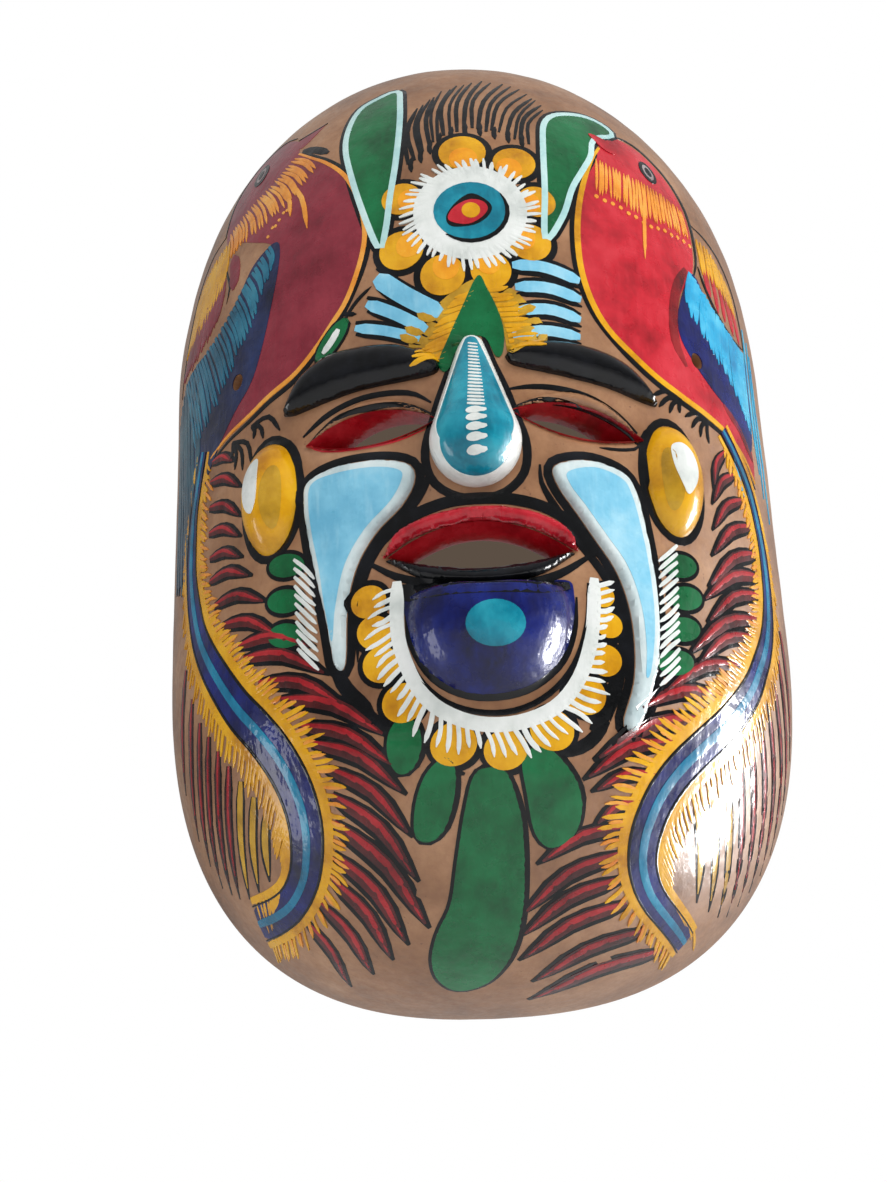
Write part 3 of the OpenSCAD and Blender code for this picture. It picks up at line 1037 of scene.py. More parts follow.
for name, outline in (("left_leaf", LEFT_LEAF), ("right_leaf", RIGHT_LEAF)):
    paint(name + "_shadow", draw_leaf_lines(outline + (0.0, 0.2), 4.4, 1), black)
    paint(name, lambda flat: film(flat, outline, 2), green)
    paint(name + "_edge", draw_leaf_lines(outline, 1.9, 3), pale_mint)

# %% [markdown]
# ## Between the brows
# A green arrow grows out of the flower, with an ochre wing on each side whose edge is combed into
# short strokes, and light blue strokes with black shadows reach out over the brows.

# %% Arrow and wings
ARROW = [(4.2, 36), (6.6, 32), (9, 26), (10.6, 19), (10, 12), (8, 11), (5.4, 16.5), (1, 17), (-1.6, 13.5),
         (-5.4, 7), (-7.6, 9.5), (-4.6, 17), (-0.6, 26)]
LEFT_WING = smooth([(3.4, 34.5), (-1.5, 32.5), (-8, 27), (-14, 20), (-15.5, 15.5), (-12, 14.6), (-8.5, 11),
                    (-5.6, 9.6), (-3, 17), (0, 25)], closed=True)
RIGHT_WING = smooth([(6.4, 34), (10, 30.5), (13.5, 32), (18.6, 26.4), (22.6, 19.6), (22, 15.4), (17, 13),
                     (12, 10.6), (10.6, 18), (8.4, 27)], closed=True)


def draw_wing_combs(flat):
    for spine, lean in (([(4, 33), (0, 26), (-4, 17), (-6, 11)], (-7.5, -2.6)),
                        ([(6, 33), (9, 26), (11.5, 18), (12, 12)], (7.5, 1.0))):
        spots, _ = along(smooth(spine), np.linspace(0.08, 1, 13))
        for i, spot in enumerate(spots):
            reach = 0.75 + 0.035 * i
            end = spot + np.array(lean) * reach + (jitter(0.6), jitter(0.5))
            dab(flat, spot, end, 1.3, 3.2, jitter(0.5), tips=(0.8, 0.3))


paint("arrow_wings", lambda flat: (film(flat, LEFT_WING, 2), film(flat, RIGHT_WING, 2)), ochre)
paint("arrow_wing_combs", draw_wing_combs, yellow)
paint("arrow", lambda flat: film(flat, smooth(ARROW, closed=True), 4), green)

# %% Blue strokes over the brows
BLUE_STROKES = [([(-24.5, 39), (-16, 31.5), (-6.5, 24.8)], 5.6), ([(-27.5, 31.2), (-19, 26.3),
                                                                   (-10.5, 20.2)], 3.7),
                ([(-31, 24.2), (-22, 21.6), (-12.5, 17.6)], 3.1),
                ([(14, 39.6), (23, 39.6), (33.5, 36.4)], 3.6), ([(14.5, 32.6), (24, 33), (33.5, 30.4)],
                                                                3.5),
                ([(15, 25.2), (24, 26.2), (33, 24)], 3.4), ([(13, 17.2), (22, 19.4), (32.5, 18.6)], 3.3)]


def draw_blue_strokes(flat):
    for points, width in BLUE_STROKES:
        stroke(flat, points, width, 2.6, taper=(0.12, 0.9), tips=(0.55, 0.55))


def draw_blue_shadows(flat):
    for points, width in BLUE_STROKES:
        for shift in (-0.62, 0.55):
            low = [(x + 0.2, y + shift * width) for x, y in points]
            stroke(flat, low, 2.3, 1.6, tips=(0.4, 0.2))


paint("brow_stroke_shadows", draw_blue_shadows, black)
paint("brow_strokes", draw_blue_strokes, light_blue)
paint("brow_stroke_tips", lambda flat: [dab(flat, (x, y), (x - 5 * s, y + 2.6), 2.4, 3.4, 0.4)
                                        for x, y, s in ((-8, 23, 1), (-11.5, 19.2, 1), (-13, 17, 1),
                                                        (15, 24, -1),
                                                        (14, 17.5, -1))], ochre)

# %% Green drop by the left bird
DROP = oval((-38.2, 22), 7.6, 2.9, 50)


def draw_drop_lines(flat):
    stroke(flat, DROP, 1.3, 2.2, closed=True, bend=False)
    dab(flat, (-34, 28), (-26, 36.5), 1.1, 1.6, 0.6)
    dab(flat, (-35, 29.5), (-30.5, 28.6), 1.4, 1.6)


paint("drop_lines", draw_drop_lines, black)
paint("drop", lambda flat: film(flat, DROP, 2.9), green)
paint("drop_light", lambda flat: dab(flat, (-41, 18.6), (-36, 25), 2.1, 3.8, -0.3, tips=(0.5, 0.6)), white)

# %% [markdown]
# ## Lines of the face
# Black lines give the clay features their edges: a lid line over each eye, a surround for the
# mouth, the nose and the ear bosses. A fine red line lies under the left eye.

# %% Face lines
def draw_face_lines(flat):
    stroke(flat, [(-48, -5), (-40, -0.4), (-30.4, 2.2), (-21, 2.4), (-14.5, 1.2), (-10, -1.8)], 1.7, 1.4,
           tips=(0.3, 0.3))
    stroke(flat, [(-47, -7.5), (-40, -3.4), (-30, -1.5), (-20, -1.6), (-12, -3.8), (-8.4, -6.6)], 1.2, 1.4,
           tips=(0.4, 0.4))
    stroke(flat, [(10.6, 1), (17, 2), (25, 2), (34, 0.4), (42, -3.4), (48.6, -8)], 1.6, 1.4,
           tips=(0.3, 0.3))
    stroke(flat, [(12, -4), (20, -2), (30, -2.8), (40, -6), (47, -10), (49.4, -12.6)], 1.3, 1.4,
           tips=(0.4, 0.4))
    stroke(flat, [(36, -14.4), (42, -14.2), (47, -13.2), (49.2, -11.6)], 1.0, 1.4, tips=(0.2, 0.5))


def draw_eye_red_lines(flat):
    stroke(flat, [(-46.6, -7.4), (-43.6, -9.8), (-38, -11.4), (-30, -12.1), (-20, -11.6), (-12, -9.2)],
           0.7, 1.3, tips=(0.8, 0.3))


def draw_mouth_surround(flat):
    stroke(flat, [(-28.8, -46.6), (-24.4, -39.8), (-17, -34.6), (-7, -31.3), (2, -30.6), (11, -31.2),
                  (20.6, -34),
                  (28.6, -39.8), (31.8, -46.6)], 3.3, 2.0, taper=(0.15, 0.85), tips=(0.3, 0.3))
    stroke(flat, [(-27.5, -46.4), (-20, -51), (-9, -54.2), (2, -55.4), (13, -54.6), (22, -51.8),
                  (30.5, -46.4)],
           2.4, 1.6, tips=(0.5, 0.5))


NOSE_EDGE = [(-1.6, 18), (-4.2, 9), (-7.4, 0), (-10.8, -10), (-12.2, -18), (-10.2, -25), (-4.8, -29.4),
             (2, -30.6),
             (8.8, -29), (14, -23.6), (15.2, -16), (13.4, -8), (10, 2), (7, 10), (4.8, 18)]


def draw_nose_surround(flat):
    stroke(flat, NOSE_EDGE, 2.4, 1.2, tips=(0.5, 0.5))


def draw_ear_surrounds(flat):
    for side in (-1, 1):
        stroke(flat, oval((side * EAR_REACH, EAR_UP), EAR_HALF_W + 0.9, EAR_HALF_H + 0.9), 2.3, 1.3,
               closed=True, bend=False)
    stroke(flat, [(-66, -8), (-60, -3.4), (-53, -5.6), (-49.6, -12), (-48.6, -20)], 2.4, 1.5)
    stroke(flat, [(49.4, -28), (48.9, -18), (50.6, -9), (55, -4)], 2.2, 1.5)


paint("face_lines", draw_face_lines, black)
paint("eye_red_lines", draw_eye_red_lines, red)
paint("mouth_surround", draw_mouth_surround, black)
paint("nose_surround", draw_nose_surround, black)
paint("ear_surrounds", draw_ear_surrounds, black)

# %% Lights on the nose, ears and chin
NOSE_LINE = smooth([(1.8, 14), (1.9, 2), (1.8, -8), (1.6, -23)])


def build_nose_edge():
    """A white band round the nose's sides and tip: the nose one coat larger, with its front cut
    off by two planes. One leans with the bridge, the other faces down to the tip's underside."""
    solid = build_nose(coat=0.18)
    for place, facing in (((NOSE_X, NOSE_FOOT - 3.4, TOP_UP - 1), (0, -1, 0.26)),
                          ((NOSE_X, NOSE_FOOT - TIP_LIFT - 7, TIP_UP - 3), (0, -0.92, -0.39))):
        bmesh.ops.bisect_plane(solid, geom=solid.verts[:] + solid.edges[:] + solid.faces[:], dist=1e-7,
                               plane_co=Vector(place) * MM, plane_no=facing, clear_outer=True)
        bmesh.ops.holes_fill(solid, edges=[e for e in solid.edges if e.is_boundary])
    return solid


def draw_nose_whites(flat):
    for share in np.linspace(0.03, 0.66, 19):
        (x, y), = along(NOSE_LINE, [share])[0]
        wide = 2.2 + 2.6 * share
        dab(flat, (x - wide / 2, y + 0.2), (x + wide / 2, y - 0.2), 0.55 + 0.5 * share, 1.8, -0.2,
            tips=(0.7, 0.5), crown=0.14)
    for share in (0.72, 0.78, 0.85, 0.92, 1):
        (x, y), = along(NOSE_LINE, [share])[0]
        film(flat, oval((x - 0.5, y), 1.9, 1.1, 8, points=14), 2.2, cell=1.2)
        dab(flat, (x - 1, y), (x + 2.2, y + 0.3), 1.3, 1.9, -0.2, tips=(0.7, 0.5), crown=0.14)


def draw_ear_lights(flat):
    film(flat, smooth([(-59, -10.5), (-58, -16), (-58.2, -22.6), (-60.2, -26.4), (-62.6, -24.6),
                       (-64, -19.6),
                       (-63.6, -14.6), (-61.6, -11.2)], closed=True), 1.6, cell=2)
    film(flat, smooth([(55, -13.2), (58, -11.6), (60.6, -13.6), (62, -18), (61.4, -22.6), (58.6, -27),
                       (56.6, -24.4),
                       (54.8, -19)], closed=True), 1.6, cell=2)


def draw_ear_shades(flat):
    for side in (-1, 1):
        film(flat, oval((side * (EAR_REACH - 4.6), EAR_UP - 2), 2.6, 9, side * 4), 1.2, cell=2)


make_object("nose_edge", build_nose_edge(), white)
paint("nose_whites", draw_nose_whites, white)
paint("ear_shades", draw_ear_shades, ochre)
paint("ear_lights", draw_ear_lights, white)
paint("chin_dot", lambda flat: film(flat, oval((4, -67.6), 6.8, 5.5), 1.6), turquoise)
paint("chin_field", lambda flat: film(flat, smooth(
    [(-18.6, -53.4), (-6, -54), (4, -54.4), (16, -54), (24, -53.6), (25.4, -57), (25, -64), (22.6, -72),
     (17, -79),
     (8, -83.2), (-1, -83.8), (-9, -80.6), (-15.4, -74), (-18.4, -64)], closed=True), 0.8, cell=2),
     dark_blue)
paint("chin_rim", lambda flat: stroke(flat, [(-18.6, -60), (-17.6, -69), (-12.6, -78), (-5, -83),
                                             (4, -84.2), (13, -82),
                                             (21, -75.6), (25, -67), (26, -58)], 1.8, 1.2, tips=(0.3, 0.3)),
      black)
paint("chin_crease", lambda flat: stroke(flat, [(-20, -55), (-9, -56.6), (3, -57.4), (14, -57),
                                                (24.4, -55)],
                                         6, 1.6, tips=(0.7, 0.3)), black)

# %% Cheek fields
# The pads themselves are white; each light blue field leaves a border of that white round it
CHEEK_FIELDS = [
    smooth([(-43.8, -20.8), (-36.6, -19.4), (-25.6, -19.6), (-19, -21.4), (-18.2, -24.2), (-21.4, -30),
            (-28.6, -37),
            (-34.2, -46), (-37, -57), (-38.2, -66), (-40, -57), (-41.6, -46), (-43.8, -35), (-44.9, -26.6)],
            closed=True),
    smooth([(25.4, -23.6), (33, -21.6), (40.6, -23.8), (43.2, -27.8), (45.2, -36.6), (46.8, -50), (47, -64),
            (45, -76),
            (43.4, -78), (44, -70), (43.4, -60), (40.2, -49), (35, -41), (29.6, -32.8), (26, -27.6)],
            closed=True),
]


def draw_cheek_fields(flat):
    for outline in CHEEK_FIELDS:
        film(flat, outline, 1.0, cell=2)


def inset(outline, distance):
    """A closed outline moved inwards by a distance, or outwards by a negative one."""
    ahead = np.roll(outline, -2, axis=0) - np.roll(outline, 2, axis=0)
    ahead /= np.maximum(np.hypot(*ahead.T), 1e-6)[:, None]
    x, y = outline.T
    area = (x * np.roll(y, -1) - y * np.roll(x, -1)).sum()
    side = 1 if area > 0 else -1
    return outline + side * distance * np.stack([-ahead[:, 1], ahead[:, 0]], -1)


def draw_cheek_shadows(flat):
    for outline in (cheek_left_outline, cheek_right_outline):
        stroke(flat, inset(outline, -1.5), 2.4, 1.1, closed=True, bend=False)
    stroke(flat, [(-12.6, -18), (-11.6, -24), (-16, -31.4), (-23, -38.6), (-28, -45.6), (-31.6, -57),
                  (-32, -72)],
           2.4, 1.4)
    stroke(flat, [(18.4, -21), (18.8, -27), (24, -36.6), (29.8, -45.2), (34.8, -52.6), (37.4, -61),
                  (38.2, -71),
                  (36.4, -82), (33.4, -90)], 2.4, 1.4)


paint("cheek_shadows", draw_cheek_shadows, black)
paint("cheek_fields", draw_cheek_fields, light_blue)

# %% [markdown]
# ## The ruff round the chin
# Yellow scallops on a black ground peep out from under a white fringe: a solid white band whose
# lower edge is pulled into strokes that lean the way the brush travelled.

# %% Chin ruff
RUFF = smooth([(-20.6, -52), (-20.9, -64.5), (-19.6, -72), (-16, -80.5), (-10.5, -86.5), (-1.5, -90.5),
               (8.8, -90.7), (18.5, -87), (25, -80), (28.8, -71), (30.4, -62), (31.2, -52.5)])
SCALLOPS = [(-28.5, -56.5, 4.9), (-27, -65, 5), (-25.4, -73.6, 5.2), (-20, -84, 5.6), (-7.5, -95.4, 6),
            (5.5, -97.4, 5.6), (17.6, -92.6, 5.8), (27, -83.6, 5.6), (33, -74.4, 4.6), (34.6, -65, 3.8),
            (33.4, -57.4, 3.2)]


def draw_scallops(grow, layer):
    def draw(flat):
        for x, y, size in SCALLOPS:
            film(flat, oval((x, y), size + grow, size * 0.9 + grow, jitter(20)), layer)
    return draw


# Beside the right cheek pad there is room only for shorter fringe strokes
NEAR_PAD = (24, -76)
SHORT_FRINGE = 0.62


def draw_ruff(flat):
    stroke(flat, RUFF, 3.8, 3, taper=(0.05, 0.95), tips=(0.6, 0.6), crown=0.12)
    count = 46
    spots, normals = along(RUFF, np.linspace(0.02, 0.98, count))
    for spot, normal in zip(spots, normals):
        out = -normal
        lean = np.array([-out[1], out[0]]) * 0.35
        room = SHORT_FRINGE if spot[0] > NEAR_PAD[0] and spot[1] > NEAR_PAD[1] else 1
        end = spot + (out + lean) * (7.6 + jitter(1.6)) * room
        dab(flat, spot + out, end, 1.2 + jitter(0.25), 3.4, jitter(0.6), tips=(0.9, 0.25), crown=0.12)


def draw_chin_lines(flat):
    stroke(flat, [(-19.6, -53), (-19.8, -64), (-17.2, -75.4), (-10.6, -83.6), (-1.5, -87.6), (8.4, -87.6),
                  (17.4, -83.4), (24.4, -75.6), (28.4, -65), (29.6, -54)], 1.5, 2.4, tips=(0.6, 0.6))
    for points, width in (([(-39, -72), (-35, -79), (-28, -86)], 4),
                          ([(-31, -84), (-25, -90), (-20, -93)], 3),
                          ([(35.4, -79), (32.8, -86.6), (28, -92.6)], 4.2),
                          ([(33, -90), (26, -96.4), (17, -98.6)], 3.4),
                          ([(-13, -93), (-9, -101), (-5, -103)], 2.4),
                          ([(9, -101), (16, -98), (22, -97)], 2.4)):
        stroke(flat, points, width, 1.0, tips=(0.3, 0.3))


paint("chin_lines", draw_chin_lines, black)
paint("ruff_ground", draw_scallops(1.5, 1.4), black)
paint("ruff_scallops", draw_scallops(0, 2.2), yellow)
paint("ruff_fringe", draw_ruff, white)

# %% [markdown]
# ## Leaves of the beard and the cheeks
# Four leaves hang below the chin, each a green field with a black line. Beside the cheek pads
# short green leaves lie in a row under slanting white strokes.

# %% Beard leaves
BEARD_LEAVES = [
    smooth([(-20, -87), (-16.4, -90), (-15.4, -95), (-18, -100.6), (-22, -101.6), (-24.6, -97), (-24, -91)],
           closed=True),
    smooth([(-10, -98.5), (-7.4, -101.5), (-7.8, -109), (-11, -117), (-15, -119.6), (-18.4, -117.6),
            (-18, -110), (-15, -102.5)], closed=True),
    smooth([(-2.4, -103), (3, -101.6), (6, -104), (8.6, -113), (9.2, -122), (8.8, -134), (7.4, -146),
            (4.4, -157), (-0.6, -166.4), (-6.4, -170.6), (-11.4, -169.8), (-15.2, -163.6), (-16.2, -155),
            (-14.2, -146), (-10.2, -137), (-8, -125), (-5.4, -112)], closed=True),
    smooth([(9.6, -99.5), (14, -96.6), (18.6, -98.6), (23.6, -105.6), (24.6, -112.4), (22, -119.4),
            (16, -122.6),
            (12, -118.6), (10.4, -109)], closed=True),
]


def draw_beard_leaves(flat):
    for outline in BEARD_LEAVES:
        film(flat, outline, 2)


def draw_beard_lines(flat):
    for outline in BEARD_LEAVES:
        stroke(flat, outline, 1.9, 1.2, closed=True, bend=False)
        stroke(flat, outline[:len(outline) // 2], 2.6, 1.3, bend=False, tips=(0.3, 0.3))


paint("beard_leaf_lines", draw_beard_lines, black)
paint("beard_leaves", draw_beard_leaves, green)

# %% Cheek leaves
LEFT_CHEEK_LEAVES = [(-53.5, -41.5), (-54, -51.5), (-54, -61)]
RIGHT_CHEEK_LEAVES = [(59, -45.5), (60, -54.5), (58, -63.5), (54.5, -73)]


def draw_cheek_leaves(grow, layer):
    def draw(flat):
        for side, places in ((-1, LEFT_CHEEK_LEAVES), (1, RIGHT_CHEEK_LEAVES)):
            for x, y in places:
                film(flat, oval((x, y), 6.2 + grow, 3.3 + grow, -side * -12), layer)
    return draw


def draw_cheek_whites(flat):
    for i in range(11):
        x, y = -49.4 + 0.1 * i, -42 - 2.5 * i
        dab(flat, (x - 1.5, y + 1.6), (x + 5.2, y - 5.4), 1.15, 3, jitter(0.4), tips=(0.7, 0.4))
    for i in range(15):
        x, y = 57.4 - 0.2 * i, -41 - 2.45 * i
        dab(flat, (x + 1, y + 1.4), (x - 6, y - 4.4), 1.15, 3, jitter(0.4), tips=(0.7, 0.4))


paint("cheek_leaf_ground", draw_cheek_leaves(1.2, 1), black)
paint("cheek_leaves", draw_cheek_leaves(0, 2), green)
paint("cheek_leaf_strokes", draw_cheek_whites, white)

# %% [markdown]
# ## The birds
# Two long-tailed birds face each other over the brows. Each has a red body with a yellow breast line, a
# comb of orange ruff strokes under the eye, a fan of small feathers on the back, and a dark blue wing with
# turquoise strokes. Each was painted freehand, so their shapes differ, and the left one is painted in
# darker colours and leans further round the side. What they share is drawn by one function.

# %% Bird helpers
def comb(flat, roots, ends, count, width, layer, sway=0.5, **shape):
    """Adds a row of strokes from one smooth line to another, like the teeth of a comb."""
    starts, _ = along(smooth(roots), np.linspace(0, 1, count))
    stops, _ = along(smooth(ends), np.linspace(0, 1, count))
    for start, stop in zip(starts, stops):
        stop = stop + (jitter(0.5), jitter(1.0))
        dab(flat, start + (jitter(0.3), jitter(0.4)), stop, width * (1 + jitter(0.2)), layer,
            sway + jitter(0.3), **shape)


def draw_eye_lines(place, half_w, half_h, turn):
    def draw(flat):
        film(flat, oval(place, half_w, half_h, turn), 2.4)
    return draw


def paint_eye(name, place, half_w, half_h, turn):
    paint(name + "_eye_socket", draw_eye_lines(place, half_w, half_h, turn), black)
    paint(name + "_eye_ring", lambda flat: film(flat, oval(place, half_w * 0.6, half_h * 0.68, turn), 3.2),
          eye_grey)
    paint(name + "_eye_pupil", lambda flat: film(flat, oval(place, half_w * 0.34, half_h * 0.42, turn), 4),
          black)


def claw(flat, root, tips, layer=1.4):
    """Adds a foot of three hooked strokes."""
    for (x, y), sway in tips:
        dab(flat, root, (x, y), 1.5, layer, sway, tips=(0.6, 0.3))


eye_grey = enamel("eye_grey_enamel", srgb(128, 110, 112), srgb(96, 84, 88), srgb(170, 160, 160))

# %% Left bird
LEFT_BREAST = [(-51.5, 99), (-46, 93), (-41, 88), (-35, 80.5), (-31, 72), (-28.2, 61), (-27.8, 52),
               (-30, 42.5),
               (-33.6, 33.5), (-38, 27.5), (-43.5, 21), (-51, 15), (-60, 11.6), (-69, 8), (-78, 5.6),
               (-88, 2)]
LEFT_BODY = np.concatenate([
    smooth(LEFT_BREAST),
    smooth([(-88, 2), (-84, 10), (-77, 14), (-71, 20), (-66, 27), (-61, 38), (-57.5, 49), (-57, 58),
            (-61, 63), (-68, 67), (-75, 71), (-82, 74), (-84.5, 80), (-84, 92), (-80, 103), (-73, 110.5),
            (-66, 114),
            (-59, 114), (-54.5, 110.5), (-52, 106), (-51.5, 99)])[1:-1]])
LEFT_WING_FIELD = smooth([(-59.5, 62), (-56.5, 60), (-57, 50), (-59.6, 39), (-63, 28), (-67.6, 18.4),
                          (-75, 12),
                          (-84, 3), (-94, -8), (-102, -22), (-112, -30), (-119, -24), (-120, 0), (-117, 20),
                          (-110, 35),
                          (-100, 38), (-89, 39), (-80, 43.5), (-73, 50), (-67, 57.5)], closed=True)


def draw_left_bird(flat):
    film(flat, LEFT_BODY, 1)
    film(flat, smooth([(-52.5, 108), (-47, 109.5), (-42.5, 111.5), (-46, 106), (-51, 102)], closed=True), 1)


def draw_left_bird_lines(flat):
    stroke(flat, [(x + 1.4, y + 0.2) for x, y in LEFT_BREAST[:8]] + [(x, y - 1.9) for x,
                                                                     y in LEFT_BREAST[8:]],
           1.7, 0.8, tips=(0.5, 0.5))
    stroke(flat, [(-40, 92.5), (-45, 97), (-50, 100)], 3.2, 0.9, tips=(0.4, 0.4))
    stroke(flat, [(-54, 112), (-60, 115.6), (-68, 114.6), (-75, 110.5), (-81.5, 103), (-85, 92),
                  (-85.6, 80)],
           1.1, 1.5, tips=(0.4, 0.4))
    stroke(flat, [(-41.5, 112), (-47, 110), (-53, 109)], 0.9, 1.5)
    stroke(flat, [(-85.5, 80), (-94, 76), (-103, 66), (-110, 52), (-116, 34)], 0.9, 1.0)
    stroke(flat, [(-84, 74), (-82, 64), (-79, 56), (-80.4, 50)], 1.0, 1.0)
    claw(flat, (-67.4, 4.4), [((-56, -0.6), 3.4), ((-62.4, -1), 1.8), ((-66.4, 0.2), 1.0)])
    claw(flat, (-76, 2.4), [((-67, -7.6), 3.4), ((-71, -8), 2.2), ((-74.6, -6.6), 1.4), ((-77, -3), 0.8)])


def draw_left_ruff(flat):
    comb(flat, [(-53, 97), (-60, 91), (-68, 87), (-76, 83), (-82, 79)],
         [(-44, 87), (-53, 77), (-62, 72), (-72, 70), (-80, 67)], 24, 1.25, 2.4, 1.0)
    dab(flat, (-56, 88), (-46.5, 62.5), 1.7, 2.9, 2.4)
    dab(flat, (-58, 86), (-53, 70), 1.5, 2.9, 1.6)
    for i in range(6):
        film(flat, oval((-61.5 + 1.5 * i + jitter(0.4), 66.5 + 1.4 * i + jitter(0.8)), 0.6, 0.6, points=10),
             2.4)


def draw_left_back(flat):
    comb(flat, [(-82, 76), (-88, 73), (-96, 69), (-102, 64)], [(-83, 56), (-92, 51), (-102, 48),
                                                               (-111, 46)], 15, 2.2,
         1.8, 1.0)


def draw_left_back_reds(flat):
    comb(flat, [(-82, 62), (-90, 59), (-99, 55), (-106, 50)], [(-86, 46), (-94, 42), (-105, 39),
                                                               (-114, 38)], 13, 2.4,
         1.4, 0.8)
    dab(flat, (-78, 67), (-77, 53.5), 5.2, 1.4, 1.0, tips=(0.3, 0.2))


def draw_left_wing_strokes(flat):
    comb(flat, [(-60.5, 61.5), (-66, 56.5), (-73, 50), (-81, 43.4), (-90, 39.4), (-100, 37.4), (-109, 36)],
         [(-59.4, 54), (-62.6, 46), (-67.4, 38), (-73, 31), (-79, 24), (-88, 16), (-99, 10)], 30, 1.45, 3.2,
         0.7,
         tips=(0.8, 0.3))


def draw_left_train(flat):
    comb(flat, [(-98, 34), (-105, 35), (-112, 33), (-118, 26)], [(-96, -10), (-103, -26), (-110, -34),
                                                                 (-118, -30)],
         9, 2.2, 2.8, 0.6, tips=(0.7, 0.4))


paint("left_bird_lines", draw_left_bird_lines, black)
left_fields = [paint("left_bird_body", draw_left_bird, crimson)]
paint("left_bird_breast_line", lambda flat: stroke(flat, LEFT_BREAST, 1.5, 1.8, tips=(0.5, 0.5)), orange)
paint("left_bird_ruff", draw_left_ruff, orange)
paint_eye("left_bird", (-69, 100.5), 3.4, 5.6, -14)
paint("left_bird_back_feathers", draw_left_back, yellow)
paint("left_bird_back_reds", draw_left_back_reds, crimson)
left_fields.append(paint("left_bird_wing", lambda flat: film(flat, LEFT_WING_FIELD, 2), navy))
for field in left_fields:
    cut(field, hole_cutter(-1))
paint("left_bird_wing_strokes", draw_left_wing_strokes, teal)
paint("left_bird_train_strokes", draw_left_train, deep_teal)

# %% Right bird
RIGHT_BREAST = [(44.5, 90.5), (41.2, 83.5), (37.6, 72.5), (35.2, 62), (34, 51.5), (34.4, 40), (37, 30),
                (41.5, 22.4),
                (47.5, 17), (55.5, 11.4), (65.5, 7.2), (75, 4.8), (85, 2.4), (96, -2), (104, -8)]
RIGHT_BODY = np.concatenate([
    smooth(RIGHT_BREAST),
    smooth([(104, -8), (104, 2), (96, 9), (85, 13), (77, 17.5), (70, 23), (67, 31), (70, 42), (76, 50),
            (78.6, 60), (78.6, 74), (75.6, 84), (70, 92), (63, 97.2), (56, 99.4), (50.5, 99), (47.6, 95.6),
            (44.5, 90.5)])[1:-1]])
RIGHT_WING_FIELD = smooth([(75.5, 51), (79, 50), (83, 43), (90, 38), (99, 35), (106, 36.5), (108, 28),
                           (107, 14), (103, 2),
                           (97, 5), (89, 10), (80.5, 14), (73, 19.5), (68, 26), (67.4, 33), (71, 43)],
                           closed=True)


def draw_right_bird(flat):
    film(flat, RIGHT_BODY, 1)
    film(flat, smooth([(41.4, 96.6), (44.6, 96.4), (50.4, 93.6), (50.4, 90), (47, 90), (44, 92.6)],
                      closed=True), 4)


def draw_right_bird_lines(flat):
    stroke(flat, [(x - 1.5, y) for x, y in RIGHT_BREAST[:8]] + [(x - 0.3, y - 1.9) for x,
                                                                y in RIGHT_BREAST[8:]],
           1.8, 0.8, tips=(0.5, 0.5))
    stroke(flat, [(49, 99.6), (56, 101), (63.6, 98.8), (71, 93.4), (76.8, 85), (80, 75), (80, 59),
                  (77.4, 51)],
           1.4, 1.5, tips=(0.4, 0.4))
    stroke(flat, [(80, 73), (89, 71.4), (98, 66.4), (104.6, 58), (107, 46), (107.4, 38)], 1.2, 1.5)
    stroke(flat, [(80.4, 56), (83, 49), (89, 42), (98, 37.6), (106, 38)], 1.3, 2.2)
    claw(flat, (65.6, 6), [((54.6, 4.6), -2.0), ((56.6, 1.6), -1.6), ((60.4, 0.6), -1.2),
                           ((64.4, 1.6), -0.6)])
    claw(flat, (76.4, 2.6), [((66.4, 1), -1.8), ((68.8, -1.8), -1.6), ((72.4, -3.6), -1.2),
                             ((76.2, -4.6), -0.5)])


def draw_right_ruff(flat):
    comb(flat, [(43, 84.5), (50, 82.5), (59, 81), (68, 79.8), (77, 77)],
         [(41.4, 70), (49, 69), (58, 66), (67, 66), (77.4, 65.4)], 30, 1.0, 2.4, 0.1)
    dab(flat, (60.6, 80), (56.6, 49.5), 1.3, 2.9, -0.4)
    dots, _ = along(smooth([(41.5, 68.4), (50, 66.4), (58, 63.4), (68, 63.6), (77.6, 62.6)]),
                    np.linspace(0, 1, 14))
    for spot in dots:
        film(flat, oval(spot + (0, jitter(0.6)), 0.75, 0.75, points=10), 2.4)


def draw_right_back(flat):
    comb(flat, [(82.4, 68), (88, 67), (95, 63), (101, 57)], [(82.6, 55), (89, 53), (96, 51), (103, 47)], 12,
         1.9,
         2.4, 0.3)


def draw_right_back_reds(flat):
    comb(flat, [(84, 60), (92, 57), (100, 53)], [(85, 46), (94, 42), (103.4, 39)], 5, 2.9, 1.6, 0.2)


def draw_right_wing_strokes(flat):
    comb(flat, [(75.4, 51.4), (80, 47.6), (87, 42.4), (96, 38), (106, 36.4)],
         [(71.6, 39), (78, 31.6), (86, 25), (95.4, 18), (105.4, 8)], 26, 1.75, 3.2, -0.5, tips=(0.8, 0.3))


def draw_right_train(flat):
    comb(flat, [(109.6, 47), (112.4, 45), (115, 40)], [(109.5, -4), (112.5, -12), (116, -16)], 3, 1.6, 2.4,
         -0.8)
    comb(flat, [(88, -3), (92, -4)], [(93, -17), (97, -17)], 2, 1.6, 2.4, 0.3)


def draw_wing_shade(flat):
    stroke(flat, [(73.5, 52), (68.6, 44), (65.6, 33), (65.6, 24), (69, 17.5)], 3.6, 1.6, tips=(0.5, 0.3))
    stroke(flat, [(86, 11.4), (96, 6.6), (104, -1)], 4, 1.6)


